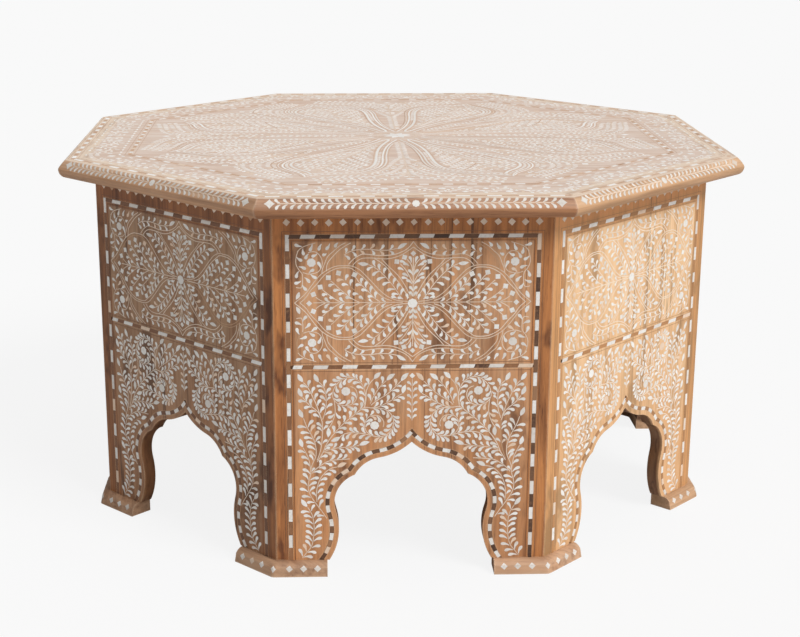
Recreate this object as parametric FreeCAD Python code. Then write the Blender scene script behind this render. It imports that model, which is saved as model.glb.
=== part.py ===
import FreeCAD, Part
import math
import os
from FreeCAD import Vector

# Low octagonal table of inlaid wood: a drum of eight mitred side panels, each with a cusped ogee arch, stands
# on eight moulded corner feet and carries a boarded top with a mitred edge moulding. Millimetres, +Z up. The
# origin is on the floor under the middle, and the first side faces -Y. Sides and corners are counted from
# there, anticlockwise seen from above, and corner 1 is at the right-hand end of side 1.

# Whole table. An apothem is the distance from the middle of the octagon to the middle of a side.
side_count = 8
overall_height = 485.0
drum_apothem = 405.0
cut_overrun = 10.0

# Boards of the top
top_thickness = 24.0
board_count = 5

# Edge moulding of the top: a rounded under edge, an upright lip and a sloped band up to the arris
edge_moulding_width = 38.0
rim_overhang = 45.0
rim_drop = 12.0
rim_lip = 2.0
rim_face_sag = 0.7
arris_inset = 10.5
under_edge_inset = 9.0
under_edge_sag = 2.2

# Side panels
panel_thickness = 19.0
drum_corner_radius = 4.0

# Arch in a side panel. The lobe's half width is from the panel's middle, the waist and the cusp are inset
# from it, and the heel flares from the waist. The rises go from the foot block up to the waist, the lobe's
# widest point, the cusp and the apex. The centre of the shoulder's arc is placed from the cusp.
arch_lobe_half_width = 95.0
arch_waist_inset = 5.5
arch_cusp_inset = 25.2
arch_heel_flare = 11.9
arch_waist_rise = 41.5
arch_lobe_rise = 35.5
arch_cusp_rise = 36.5
arch_apex_rise = 42.5
shoulder_centre_inset = 37.6
shoulder_centre_drop = 19.2
ogee_radius = 75.0

# Corner feet: a flared base, a rounded shoulder and a top that the legs stand on
foot_height = 17.0
foot_projection = 13.0
foot_end_setback = 2.7
foot_shoulder_height = 11.2
foot_shoulder_projection = 10.6
foot_shoulder_sag = 1.5

# Banding let into each side: a frame open at the foot, a middle strip, and a strip that follows the arch
inlay_depth = 2.0
inlay_clearance = 0.1
band_width = 4.6
band_corner_margin = 18.25
top_band_drop = 29.5
middle_band_height = 270.0
arch_band_width = 4.8
arch_band_margin = 6.5

# Cleats behind the heads of the panels
cleat_width = 24.0
cleat_height = 26.0
cleat_end_gap = 15.9
cleat_chamfer = 4.0

# Glue blocks behind the mitres of the drum
glue_block_leg = 34.0
glue_block_depth = 14.0
glue_block_bottom = 205.0

# Worked out from the sizes above
half_corner = math.pi / side_count
corner_slope = math.tan(half_corner)
under_top = overall_height - top_thickness
rim_apothem = drum_apothem + rim_overhang
board_field_apothem = rim_apothem - edge_moulding_width
drum_inside = drum_apothem - panel_thickness
band_half_spread = drum_apothem * corner_slope - band_corner_margin
top_band_height = under_top - top_band_drop
cleat_length = 2 * (drum_inside * corner_slope - glue_block_leg - cleat_end_gap)
origin = Vector(0, 0, 0)
up = Vector(0, 0, 1)
mitre_normal = Vector(math.cos(half_corner), math.sin(half_corner), 0)


def turned(shape, steps):
    """Copy of a shape turned about the table's axis by a number of sides."""
    copy = shape.copy()
    copy.rotate(origin, up, math.degrees(2 * half_corner * steps))
    return copy


def round_the_table(shape):
    """The eight copies of a shape, one for each side or corner."""
    return [turned(shape, step) for step in range(side_count)]


def mirrored(shape):
    """The shape's other half, across the middle plane of the first side."""
    return shape.mirror(origin, Vector(1, 0, 0))


def round_the_corner(half):
    """A corner piece made of its half on the first side and that half's mirror image across the mitre."""
    return half.fuse(half.mirror(origin, mitre_normal)).removeSplitter()


def prism(edges, way):
    """Solid swept along a straight way from the face inside a closed run of edges."""
    return Part.Face(Part.Wire(Part.sortEdges(edges)[0])).extrude(way)


def polygon(points):
    """Edges of a closed polygon."""
    return [Part.makeLine(points[k - 1], points[k]) for k in range(len(points))]


def mitre_point(apothem, side):
    """Corner of an octagon on the floor, at the left (-1) or right (+1) end of the first side."""
    return Vector(side * apothem * corner_slope, -apothem, 0)


def ring_side(outer, inner, bottom, top):
    """One mitred side of an octagonal ring between two heights."""
    corners = [mitre_point(outer, -1), mitre_point(outer, 1), mitre_point(inner, 1), mitre_point(inner, -1)]
    side = prism(polygon(corners), Vector(0, 0, top - bottom))
    side.translate(Vector(0, 0, bottom))
    return side


def rounded_ring_side(outer, inner, bottom, top, radius):
    """The same with its outer corners rounded, half of each rounding on its own side of the mitre."""
    centre = mitre_point(outer - radius, 1)
    start = centre - Vector(0, radius, 0)
    middle = centre + Vector(math.sin(half_corner / 2), -math.cos(half_corner / 2), 0) * radius
    end = centre + Vector(math.sin(half_corner), -math.cos(half_corner), 0) * radius
    corner_inside = mitre_point(inner, 1)
    half = [
        Part.makeLine(Vector(0, -outer, 0), start),
        Part.Arc(start, middle, end).toShape(),
        Part.makeLine(end, corner_inside),
        Part.makeLine(corner_inside, Vector(0, -inner, 0)),
    ]
    side = prism(half + [mirrored(edge) for edge in half], Vector(0, 0, top - bottom))
    side.translate(Vector(0, 0, bottom))
    return side.removeSplitter()


def profile_point(apothem, height):
    """Point of a moulding's section on the middle plane of the first side."""
    return Vector(0, -apothem, height)


def profile_arc(start, end, sag):
    """Arc of a moulding's section, bowed outwards by sag on the way up."""
    chord = end - start
    outward = Vector(0, -chord.z, chord.y).normalize()
    return Part.Arc(start, (start + end) * 0.5 + outward * sag, end).toShape()


def moulding(edges, first_half_width, last_half_width):
    """Length of moulding along the first side, between two distances from its middle plane."""
    bar = prism(edges, Vector(last_half_width - first_half_width, 0, 0))
    bar.translate(Vector(first_half_width, 0, 0))
    return bar


def top_boards():
    """Edge-glued boards of the octagonal field."""
    corner = Part.Vertex(mitre_point(board_field_apothem, 1))
    field = prism(polygon([copy.Point for copy in round_the_table(corner)]), Vector(0, 0, top_thickness))
    field.translate(Vector(0, 0, under_top))
    board_width = 2 * board_field_apothem / board_count
    boards = []
    for k in range(board_count):
        start = Vector(-board_field_apothem, k * board_width - board_field_apothem, under_top)
        boards.append(field.common(Part.makeBox(2 * board_field_apothem, board_width, top_thickness, start)))
    return boards


def edge_moulding():
    """One mitred length of the top's edge."""
    lip_top = profile_point(rim_apothem, overall_height - rim_drop)
    lip_bottom = lip_top - Vector(0, 0, rim_lip)
    under_edge = profile_point(rim_apothem - under_edge_inset, under_top)
    under_back = profile_point(board_field_apothem, under_top)
    arris = profile_point(rim_apothem - arris_inset, overall_height)
    top_back = profile_point(board_field_apothem, overall_height)
    section = [
        Part.makeLine(under_back, under_edge),
        profile_arc(under_edge, lip_bottom, under_edge_sag),
        Part.makeLine(lip_bottom, lip_top),
        profile_arc(lip_top, arris, rim_face_sag),
        Part.makeLine(arris, top_back),
        Part.makeLine(top_back, under_back),
    ]
    bar = moulding(section, -rim_apothem, rim_apothem)
    return bar.common(ring_side(rim_apothem, board_field_apothem, under_top, overall_height))


def arch_circles(offset):
    """Circles of the right half of the arch, moved into the wood by offset.

    The ogee, the waist and the heel bow into the opening, so they shrink, and the shoulder and the lobe grow.
    """
    waist_height = foot_height + arch_waist_rise
    lobe_height = waist_height + arch_lobe_rise
    cusp = Vector(arch_lobe_half_width - arch_cusp_inset, 0, lobe_height + arch_cusp_rise)
    shoulder = cusp - Vector(shoulder_centre_inset, 0, shoulder_centre_drop)
    shoulder_radius = (cusp - shoulder).Length
    apex = Vector(0, 0, cusp.z + arch_apex_rise)
    ogee = crossing(apex, ogee_radius, shoulder, ogee_radius + shoulder_radius)
    lobe_radius = (arch_cusp_inset ** 2 + arch_cusp_rise ** 2) / (2 * arch_cusp_inset)
    lobe = Vector(arch_lobe_half_width - lobe_radius, 0, lobe_height)
    waist_radius = (arch_waist_inset ** 2 + arch_lobe_rise ** 2) / (2 * arch_waist_inset) - lobe_radius
    waist_half_width = arch_lobe_half_width - arch_waist_inset
    waist = Vector(waist_half_width + waist_radius, 0, waist_height)
    heel_radius = (arch_heel_flare ** 2 + arch_waist_rise ** 2) / (2 * arch_heel_flare)
    heel = Vector(waist_half_width + heel_radius, 0, waist_height)
    return [
        (ogee, ogee_radius - offset),
        (shoulder, shoulder_radius + offset),
        (lobe, lobe_radius + offset),
        (waist, waist_radius - offset),
        (heel, heel_radius - offset),
    ]


def crossing(first, first_radius, second, second_radius):
    """Point where two circles of the side's plane cross, left of the way from the first to the second."""
    between = second - first
    apart = between.Length
    along = (first_radius ** 2 - second_radius ** 2 + apart ** 2) / (2 * apart)
    aside = math.sqrt(first_radius ** 2 - along ** 2)
    ahead = between * (1 / apart)
    left = Vector(-ahead.z, 0, ahead.x)
    return first + ahead * along + left * aside


def arch_points(offset):
    """Ends of the arcs of the right half of the arch, from the apex down to the foot."""
    circles = arch_circles(offset)
    (ogee, ogee_r), (shoulder, shoulder_r), (lobe, lobe_r), (waist, waist_r), (heel, heel_r) = circles
    apex = Vector(0, 0, ogee.z - math.sqrt(ogee_r ** 2 - ogee.x ** 2))
    turn = shoulder + (ogee - shoulder).normalize() * shoulder_r
    cusp = crossing(shoulder, shoulder_r, lobe, lobe_r)
    neck = lobe + (waist - lobe).normalize() * lobe_r
    narrowest = waist - Vector(waist_r, 0, 0)
    foot_reach = math.sqrt(heel_r ** 2 - (heel.z - foot_height) ** 2)
    return [apex, turn, cusp, neck, narrowest, Vector(heel.x - foot_reach, 0, foot_height)]


def arch_edges(offset):
    """Arcs of the right half of the arch."""
    points = arch_points(offset)
    edges = []
    for (centre, radius), start, end in zip(arch_circles(offset), points, points[1:]):
        middle = centre + ((start - centre) + (end - centre)).normalize() * radius
        edges.append(Part.Arc(start, middle, end).toShape())
    return edges


def half_opening():
    """Right half of the arched opening, cut through the panel and past its foot."""
    points = arch_points(0)
    heel_below = points[-1] - Vector(0, 0, cut_overrun)
    axis_below = Vector(0, 0, heel_below.z)
    edges = arch_edges(0)
    edges.append(Part.makeLine(points[-1], heel_below))
    edges.append(Part.makeLine(heel_below, axis_below))
    edges.append(Part.makeLine(axis_below, points[0]))
    through = prism(edges, Vector(0, panel_thickness + 2 * cut_overrun, 0))
    through.translate(Vector(0, -drum_apothem - cut_overrun, 0))
    return through


def let_in(edges):
    """Solid of the inlay's depth behind the face of the first side, from edges drawn in the side's plane."""
    piece = prism(edges, Vector(0, inlay_depth, 0))
    piece.translate(Vector(0, -drum_apothem, 0))
    return piece


def arch_strip(clearance):
    """Right half of the strip that follows the arch, with its clearance taken off each long edge."""
    near = arch_band_margin + clearance
    far = arch_band_margin + arch_band_width - clearance
    near_points = arch_points(near)
    far_points = arch_points(far)
    edges = arch_edges(near) + arch_edges(far)
    edges.append(Part.makeLine(near_points[0], far_points[0]))
    edges.append(Part.makeLine(near_points[-1], far_points[-1]))
    return let_in(edges)


def straight_strip(left, right, bottom, top):
    """Straight strip of banding between two widths and two heights."""
    corners = [Vector(left, 0, bottom), Vector(right, 0, bottom), Vector(right, 0, top), Vector(left, 0, top)]
    return let_in(polygon(corners))


def banding(clearance):
    """The six strips of one side, or the channels for them when the clearance is zero."""
    half_band = band_width / 2 - clearance
    reach = band_half_spread - band_width / 2 - clearance
    head = top_band_height + band_width / 2 - clearance
    upright = straight_strip(band_half_spread - half_band, band_half_spread + half_band, foot_height, head)
    strips = [upright, mirrored(upright)]
    for height in (top_band_height, middle_band_height):
        strips.append(straight_strip(-reach, reach, height - half_band, height + half_band))
    follower = arch_strip(clearance)
    return strips + [follower, mirrored(follower)]


def side_panel():
    """One mitred side panel with its arch and the channels for its banding."""
    board = rounded_ring_side(drum_apothem, drum_inside, foot_height, under_top, drum_corner_radius)
    right_half = half_opening()
    board = board.cut(right_half.fuse(mirrored(right_half)))
    return board.cut(Part.makeCompound(banding(0)))


def foot_block():
    """One moulded foot block round its corner, as deep as the panels and flush with their backs."""
    toe = profile_point(drum_apothem + foot_projection, 0)
    shoulder = profile_point(drum_apothem + foot_shoulder_projection, foot_shoulder_height)
    leg_line = profile_point(drum_apothem, foot_height)
    back_top = profile_point(drum_inside, foot_height)
    back_bottom = profile_point(drum_inside, 0)
    section = [
        Part.makeLine(back_bottom, toe),
        Part.makeLine(toe, shoulder),
        profile_arc(shoulder, leg_line, foot_shoulder_sag),
        Part.makeLine(leg_line, back_top),
        Part.makeLine(back_top, back_bottom),
    ]
    heel = arch_points(0)[-1]
    bar = moulding(section, heel.x + foot_end_setback, rim_apothem)
    outer = drum_apothem + foot_projection
    return round_the_corner(bar.common(ring_side(outer, drum_inside, 0, foot_height)))


def cleat():
    """Strip behind the head of one side panel, under the boards, with its lower inner edge taken off."""
    strip = Part.makeBox(cleat_length, cleat_width, cleat_height)
    inner_edges = [edge for edge in strip.Edges if edge.BoundBox.YMin > 0]
    inner_foot = [edge for edge in inner_edges if edge.BoundBox.ZMax < cleat_height]
    lengthwise = [edge for edge in inner_foot if edge.BoundBox.XLength > cleat_width]
    strip = strip.makeChamfer(cleat_chamfer, lengthwise)
    strip.translate(Vector(-cleat_length / 2, -drum_inside, under_top - cleat_height))
    return strip


def glue_block():
    """Block in the angle behind one mitre of the drum, above the arches."""
    corner = mitre_point(drum_inside, 1)
    along = corner - Vector(glue_block_leg, 0, 0)
    inward = along + Vector(0, glue_block_depth, 0)
    on_mitre = mitre_point(drum_inside - glue_block_depth, 1)
    half = prism(polygon([corner, along, inward, on_mitre]), Vector(0, 0, under_top - glue_block_bottom))
    half.translate(Vector(0, 0, glue_block_bottom))
    return round_the_corner(half)


def write(name, shape):
    """Write one node's solids."""
    shape.exportStep("parts/" + name + ".step")


def write_all_round(name, shape):
    """Write the eight nodes of a piece that repeats at each side or corner."""
    for number, copy in enumerate(round_the_table(shape), start=1):
        write(f"{name}_{number}", copy)


def main():
    """Make every piece and write one file for each node."""
    os.makedirs("parts", exist_ok=True)
    for number, board in enumerate(top_boards(), start=1):
        write(f"top_board_{number}", board)
    write_all_round("top_edge_moulding", edge_moulding())
    write_all_round("side_panel", side_panel())
    write_all_round("foot_block", foot_block())
    write_all_round("top_cleat", cleat())
    write_all_round("corner_glue_block", glue_block())
    strips = Part.makeCompound(banding(inlay_clearance))
    write("side_banding", Part.makeCompound(round_the_table(strips)))


main()
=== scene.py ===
import math
import random

import bmesh
import bpy
from bpy.props import FloatProperty, FloatVectorProperty, PointerProperty
from mathutils import Matrix, Vector


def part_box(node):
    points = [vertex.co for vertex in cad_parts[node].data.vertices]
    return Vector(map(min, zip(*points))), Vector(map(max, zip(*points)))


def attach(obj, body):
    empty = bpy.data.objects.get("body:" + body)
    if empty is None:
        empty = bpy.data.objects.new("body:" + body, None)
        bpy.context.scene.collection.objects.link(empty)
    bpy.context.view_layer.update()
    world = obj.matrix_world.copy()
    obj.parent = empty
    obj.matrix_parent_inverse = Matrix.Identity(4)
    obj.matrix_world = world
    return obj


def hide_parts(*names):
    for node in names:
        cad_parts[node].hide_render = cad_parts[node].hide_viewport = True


bl_info = {
    "name": "Inlaid octagonal stool",
    "version": (1, 0, 0),
    "blender": (4, 5, 0),
    "location": "3D View > Sidebar > Stool",
    "description": "Dresses the octagonal stool in limed wood, banding and bone inlay",
    "category": "Object",
}

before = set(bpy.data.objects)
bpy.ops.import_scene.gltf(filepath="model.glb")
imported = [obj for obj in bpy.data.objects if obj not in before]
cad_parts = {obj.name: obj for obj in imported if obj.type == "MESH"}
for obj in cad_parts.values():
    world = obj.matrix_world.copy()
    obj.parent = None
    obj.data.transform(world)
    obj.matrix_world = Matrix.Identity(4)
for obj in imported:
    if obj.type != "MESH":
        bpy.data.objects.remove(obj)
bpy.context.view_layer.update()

# Main sizes of the stool, in metres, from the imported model
mm = 0.001
side_count = 8
half_corner = math.pi / side_count
corner_slope = math.tan(half_corner)
top_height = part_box("top_board_3")[1].z
under_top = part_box("top_board_3")[0].z
drum_apothem = -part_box("side_panel_1")[0].y
rim_apothem = -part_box("top_edge_moulding_1")[0].y

# Section of the top's edge: upright lip, bowed slope up to the arris, and rounded under edge
rim_drop = 12 * mm
rim_lip = 2 * mm
arris_inset = 10.5 * mm
slope_sag = 0.7 * mm
under_edge_inset = 9 * mm
under_edge_sag = 2.2 * mm
rim_corner_radius = 7 * mm
lip_top = Vector((rim_apothem, top_height - rim_drop))
arris = Vector((rim_apothem - arris_inset, top_height))

# Section of a foot: from the toe up to a shoulder, and bowed from there to the leg's line
foot_apothem = drum_apothem + 13 * mm
foot_shoulder_apothem = drum_apothem + 10.6 * mm
foot_shoulder_height = 11.2 * mm
foot_shoulder_sag = 1.5 * mm
foot_height = 17 * mm
foot_radius = 8 * mm

# Banding of a side, in millimetres from its middle line and from the floor
band_half_width = 2.3
band_aside = 149.5
band_top = 431.5
band_middle = 270.0
band_foot = 17.2
flower_level = 350.5
frieze_level = 448.5
frieze_pitch = 16.6

# How far the middle of the arch's band lies in the wood from the arch, in millimetres
arch_band_offset = 8.9

# Drawing of the top, in millimetres from its middle
outer_border = 431
inner_border = 361
border_wave = 397
vein_start = 52
vein_end = 306
ray_start = 44
ray_end = 318

# Finishes of a piece of inlay, by their order on it
bone_chip, dark_chip, stem_line, edge_line, walnut_chip = range(5)

# Painted light and shade of each side, of its panel and of its length of the edge: paler on the side that
# faces the window, darker on the one turned from it
painted_side_light = (0.0, 0.24, 0.12, -0.1, 0.05, -0.12, -0.25, -0.5)
painted_edge_light = (0.0, 0.18, 0.12, 0.0, 0.05, 0.0, 0.0, 0.08)

# How far the diamonds under the rim stand above their place, in millimetres
frieze_lifts = (0.0, 0.4, 0.0, 0.3, 0.8, 0.0, 0.5, 1.7)


def turn(side):
    """Rotation that carries the first side to another one."""
    return Matrix.Rotation(side * 2 * half_corner, 4, "Z")


def add_object(name, data):
    """Adds an object to the scene."""
    item = bpy.data.objects.new(name, data)
    bpy.context.scene.collection.objects.link(item)
    return item


def new_mesh(name, bm, materials):
    """Mesh of a finished bmesh."""
    mesh = bpy.data.meshes.new(name)
    bm.to_mesh(mesh)
    bm.free()
    for material in materials:
        mesh.materials.append(material)
    return mesh


def add_piece(name, bm, materials):
    """Makes a piece of the stool of a finished bmesh."""
    piece = add_object(name, new_mesh(name, bm, materials))
    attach(piece, "root")
    return piece


def finishes(*names):
    """Materials by their names."""
    return [bpy.data.materials[name] for name in names]


def new_faces(made):
    """Faces that an operator made."""
    return [item for item in made["geom"] if isinstance(item, bmesh.types.BMFace)]


def new_verts(made):
    """Corners that an operator made."""
    return [item for item in made["geom"] if isinstance(item, bmesh.types.BMVert)]


def even_shading(piece):
    """Lets the flat faces keep their own shading between rounded edges."""
    piece.data.shade_smooth()
    modifier = piece.modifiers.new("even_shading", "WEIGHTED_NORMAL")
    modifier.keep_sharp = True
    modifier.weight = 100


def round_edges(bm, width, segments=2, limit=30, wanted=None):
    """Rounds the edges that are sharper than a limit, in degrees, and marks what stays sharp."""
    edges = []
    for edge in bm.edges:
        if len(edge.link_faces) == 2 and edge.calc_face_angle(0) > math.radians(limit):
            if wanted is None or wanted(edge):
                edges.append(edge)
    bmesh.ops.bevel(
        bm, geom=edges, offset=width, offset_type="OFFSET", segments=segments, profile=0.5,
        affect="EDGES", material=-1, clamp_overlap=True,
    )
    for edge in bm.edges:
        if len(edge.link_faces) == 2 and edge.calc_face_angle(0) > math.radians(50):
            edge.smooth = False


def lay_grain(bm, place, tone, back=None):
    """Keeps on each corner of a mesh where it lies in its own board, with the grain along the third number.

    It also keeps the painted light and shade of its side and, where back is given, the place on the first
    side.
    """
    board = bm.verts.layers.float_vector.new("board")
    painted_light_layer = bm.verts.layers.float.new("tone")
    flat = bm.verts.layers.float_vector.new("flat")
    for vert in bm.verts:
        vert[board] = place(vert.co)
        vert[painted_light_layer] = tone
        if back:
            vert[flat] = back @ vert.co


def solid_copy(node):
    """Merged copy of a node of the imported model, with its flat faces whole."""
    bm = bmesh.new()
    bm.from_mesh(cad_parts[node].data)
    bmesh.ops.remove_doubles(bm, verts=bm.verts, dist=2e-6)
    bmesh.ops.dissolve_limit(bm, angle_limit=math.radians(0.5), verts=bm.verts, edges=bm.edges)
    return bm


# Materials


def new_group(name, inputs, outputs):
    """Empty shader group with its sockets."""
    group = bpy.data.node_groups.new(name, "ShaderNodeTree")
    for label, kind, default in inputs:
        socket = group.interface.new_socket(name=label, in_out="INPUT", socket_type="NodeSocket" + kind)
        if default is not None:
            socket.default_value = default
    for label, kind in outputs:
        group.interface.new_socket(name=label, in_out="OUTPUT", socket_type="NodeSocket" + kind)
    start = group.nodes.new("NodeGroupInput")
    end = group.nodes.new("NodeGroupOutput")
    return group, start, end


def feed(tree, socket, value):
    """Gives a socket a value, or links it to another socket."""
    if isinstance(value, bpy.types.NodeSocket):
        tree.links.new(value, socket)
    else:
        socket.default_value = value


def add_node(tree, kind, values=None, **settings):
    """Adds a node with its settings and what goes into its sockets."""
    node = tree.nodes.new("ShaderNode" + kind)
    for key, value in settings.items():
        setattr(node, key, value)
    for key, value in (values or {}).items():
        feed(tree, node.inputs[key], value)
    return node


def math_node(tree, operation, *values):
    """Adds a sum of sockets or numbers and gives its result."""
    return add_node(tree, "Math", dict(enumerate(values)), operation=operation).outputs[0]


def times(tree, first, second):
    """Product of two sockets or numbers."""
    return math_node(tree, "MULTIPLY", first, second)


def plus(tree, first, second):
    """Sum of two sockets or numbers."""
    return math_node(tree, "ADD", first, second)


def mix_colour(tree, factor, first, second, blend="MIX"):
    """Mixes two colours, given as sockets or values, and gives the result."""
    values = {0: factor, 6: first, 7: second}
    return add_node(tree, "Mix", values, data_type="RGBA", blend_type=blend).outputs[2]


def noise(tree, vector, scale, detail=3.0, roughness=0.55):
    """Adds a noise, with one scale or one for each direction, and gives its value."""
    if isinstance(scale, tuple):
        vector = add_node(tree, "Mapping", {"Vector": vector, "Scale": scale}).outputs[0]
        scale = 1.0
    values = {"Vector": vector, "Scale": scale, "Detail": detail, "Roughness": roughness}
    return add_node(tree, "TexNoise", values).outputs["Fac"]


def kept(tree, name, output="Fac"):
    """Value that a mesh keeps on its corners."""
    return add_node(tree, "Attribute", attribute_name=name).outputs[output]


def split(tree, vector):
    """The three parts of a vector."""
    return add_node(tree, "SeparateXYZ", {0: vector}).outputs


def between(tree, value, low, high, start=0.0, end=1.0):
    """Moves a value from one range to another, held within it."""
    values = {"Value": value, "From Min": low, "From Max": high, "To Min": start, "To Max": end}
    return add_node(tree, "MapRange", values).outputs[0]


def make_grain_group():
    """Group of the wood grain, which runs along the third direction of its vector."""
    group, start, end = new_group(
        "wood_grain",
        [
            ("Vector", "Vector", None),
            ("Light", "Color", (0.6, 0.35, 0.2, 1)),
            ("Dark", "Color", (0.3, 0.15, 0.07, 1)),
            ("Streaks", "Float", 0.5),
            ("Figure", "Float", 1.0),
            ("Pores", "Float", 0.3),
            ("Stains", "Float", 0.4),
        ],
        [("Color", "Color"), ("Height", "Float"), ("Mask", "Float")],
    )
    vector = start.outputs["Vector"]
    wander = noise(group, vector, (9, 9, 2.2), detail=2.0)
    shifts = {0: wander, 1: (0.035, 0.035, 0.0), 2: vector}
    bent = add_node(group, "VectorMath", shifts, operation="MULTIPLY_ADD").outputs[0]
    broad = noise(group, bent, (34, 34, 2.6))
    fine = noise(group, bent, (330, 330, 9), detail=3.0, roughness=0.6)
    thread = noise(group, bent, (120, 120, 5), detail=2.0, roughness=0.6)
    spread = noise(group, bent, (19, 19, 7), detail=4.0, roughness=0.62)
    cloud = noise(group, vector, (11, 11, 6))
    pore = noise(group, vector, (1500, 1500, 70), detail=1.0)
    figure = times(group, start.outputs["Figure"], between(group, broad, 0.35, 0.7))
    lines = times(group, between(group, thread, 0.42, 0.62), 0.35)
    hairs = times(group, between(group, fine, 0.4, 0.68), 0.25)
    tone = plus(group, times(group, figure, 0.45), plus(group, lines, hairs))
    streak = times(group, between(group, broad, 0.56, 0.66), start.outputs["Streaks"])
    streak = times(group, streak, between(group, cloud, 0.4, 0.62))
    stain = times(group, between(group, spread, 0.53, 0.66), start.outputs["Stains"])
    for mark in (streak, stain):
        tone = math_node(group, "MAXIMUM", tone, mark)
    hole = times(group, between(group, pore, 0.6, 0.72), start.outputs["Pores"])
    dark = math_node(group, "MINIMUM", plus(group, tone, hole), 1.0)
    colour = mix_colour(group, dark, start.outputs["Light"], start.outputs["Dark"])
    colour = mix_colour(group, times(group, cloud, 0.35), colour, (0.62, 0.40, 0.24, 1), "OVERLAY")
    feed(group, end.inputs["Color"], colour)
    feed(group, end.inputs["Height"], math_node(group, "SUBTRACT", times(group, fine, 0.5), hole))
    feed(group, end.inputs["Mask"], tone)


def make_wear_group():
    """Group of the pale wear along edges."""
    group, start, end = new_group(
        "edge_wear",
        [("Vector", "Vector", None), ("Radius", "Float", 0.003), ("Patchiness", "Float", 0.5)],
        [("Wear", "Float")],
    )
    rounded = add_node(group, "Bevel", {"Radius": start.outputs["Radius"]}, samples=4).outputs[0]
    flat = add_node(group, "NewGeometry").outputs["Normal"]
    likeness = add_node(group, "VectorMath", {0: rounded, 1: flat}, operation="DOT_PRODUCT").outputs["Value"]
    edge = between(group, likeness, 0.995, 0.9)
    patch = noise(group, start.outputs["Vector"], 60.0, detail=4.0, roughness=0.6)
    patchy = times(group, between(group, patch, 0.35, 0.6), start.outputs["Patchiness"])
    even = math_node(group, "SUBTRACT", 1.0, start.outputs["Patchiness"])
    feed(group, end.inputs["Wear"], times(group, edge, plus(group, even, patchy)))


def make_crack_group():
    """Group of the thin dark cracks that run along the grain."""
    group, start, end = new_group(
        "cracks", [("Vector", "Vector", None), ("Amount", "Float", 0.8)], [("Crack", "Float")],
    )
    vector = start.outputs["Vector"]
    path = noise(group, vector, (46, 46, 0.9), detail=2.0)
    off = math_node(group, "ABSOLUTE", math_node(group, "SUBTRACT", path, 0.5))
    open_part = noise(group, vector, (19, 19, 2.4), detail=2.0)
    crack = times(group, between(group, off, 0.013, 0.003), between(group, open_part, 0.44, 0.54))
    feed(group, end.inputs["Crack"], times(group, crack, start.outputs["Amount"]))


def group_node(tree, name, vector, **values):
    """Places a shader group in a material."""
    return add_node(tree, "Group", {"Vector": vector, **values}, node_tree=bpy.data.node_groups[name])


def begin_material(name):
    """Nodes and shader of a new material."""
    material = bpy.data.materials.new(name)
    material.use_nodes = True
    return material.node_tree, material.node_tree.nodes["Principled BSDF"]


def bump(tree, shader, height, strength, distance):
    """Puts relief on a material."""
    values = {"Height": height, "Strength": strength, "Distance": distance}
    feed(tree, shader.inputs["Normal"], add_node(tree, "Bump", values).outputs[0])


def object_vector(tree, turned=(0, 0, 0)):
    """Object coordinates, turned so that the grain is the third direction."""
    place = add_node(tree, "TexCoord").outputs["Object"]
    return add_node(tree, "Mapping", {"Vector": place, "Rotation": turned}).outputs[0]


def board_vector(tree):
    """The place in its own board that a mesh keeps."""
    return kept(tree, "board", "Vector")


def wood(
    name, vector_of, light, dark, pale, streaks, figure, stains, rough, relief,
    wear=0.0, limed=None, cracks=0.0,
):
    """Wood with grain, cracks, worn edges, the painted light and shade of its side, and lime in its pores if
    wanted.
    """
    # Painted shade inside the arch and on the side turned from the window, painted light on the side facing
    # it and on its head under the rim, and the cracks' colour
    plain = (1, 1, 1, 1)
    inside_shade = (0.42, 0.36, 0.31, 1)
    dark_side_shade = (0.24, 0.175, 0.12, 1)
    crack_colour = (0.09, 0.036, 0.014, 1)
    painted_sunlit_colour = rgb(255, 208, 144)
    painted_head_light_colour = rgb(252, 176, 108)
    tree, shader = begin_material(name)
    vector = vector_of(tree)
    grain = group_node(
        tree, "wood_grain", vector,
        Light=light, Dark=dark, Streaks=streaks, Figure=figure, Pores=0.3, Stains=stains,
    )
    colour = grain.outputs["Color"]
    mask = grain.outputs["Mask"]
    height = grain.outputs["Height"]
    if limed:
        patch = noise(tree, vector, (70, 70, 16), detail=4.0, roughness=0.65)
        share = times(tree, between(tree, patch, 0.35, 0.65, 0.5, 1.0), limed(tree))
        share = times(tree, share, between(tree, mask, 0.25, 0.9, 1.0, 0.35))
        colour = mix_colour(tree, share, colour, pale)
    # Tone of the side's painted light and shade
    tone = kept(tree, "tone")
    if cracks:
        # Painted shade: the inner faces and cut ends inside the arch are darkened, and only the outer face
        # takes the side's painted light
        face = outer_face(tree)
        tone = times(tree, tone, face)
        shade = mix_colour(tree, face, inside_shade, plain)
        colour = mix_colour(tree, 1.0, colour, shade, "MULTIPLY")
    # Painted shade on the side turned from the window, painted sunlight on the side that faces it
    colour = mix_colour(tree, between(tree, tone, 0.0, -1.0), colour, dark_side_shade, "MULTIPLY")
    colour = mix_colour(tree, between(tree, tone, 0.0, 1.0), colour, painted_sunlit_colour)
    if cracks:
        # Painted light on the head under the rim, on the sunlit side
        colour = mix_colour(tree, painted_head_light(tree, tone), colour, painted_head_light_colour)
        amount = between(tree, tone, 0.0, 0.3, cracks, cracks * 0.35)
        crack = group_node(tree, "cracks", vector, Amount=amount).outputs["Crack"]
        colour = mix_colour(tree, crack, colour, crack_colour)
        height = math_node(tree, "SUBTRACT", height, crack)
    worn = group_node(tree, "edge_wear", vector).outputs["Wear"]
    colour = mix_colour(tree, times(tree, worn, wear), colour, pale)
    feed(tree, shader.inputs["Base Color"], colour)
    feed(tree, shader.inputs["Roughness"], between(tree, mask, 0.0, 1.0, rough, rough + 0.16))
    shader.inputs["Specular IOR Level"].default_value = 0.4
    bump(tree, shader, height, strength=relief, distance=0.0006)


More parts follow.
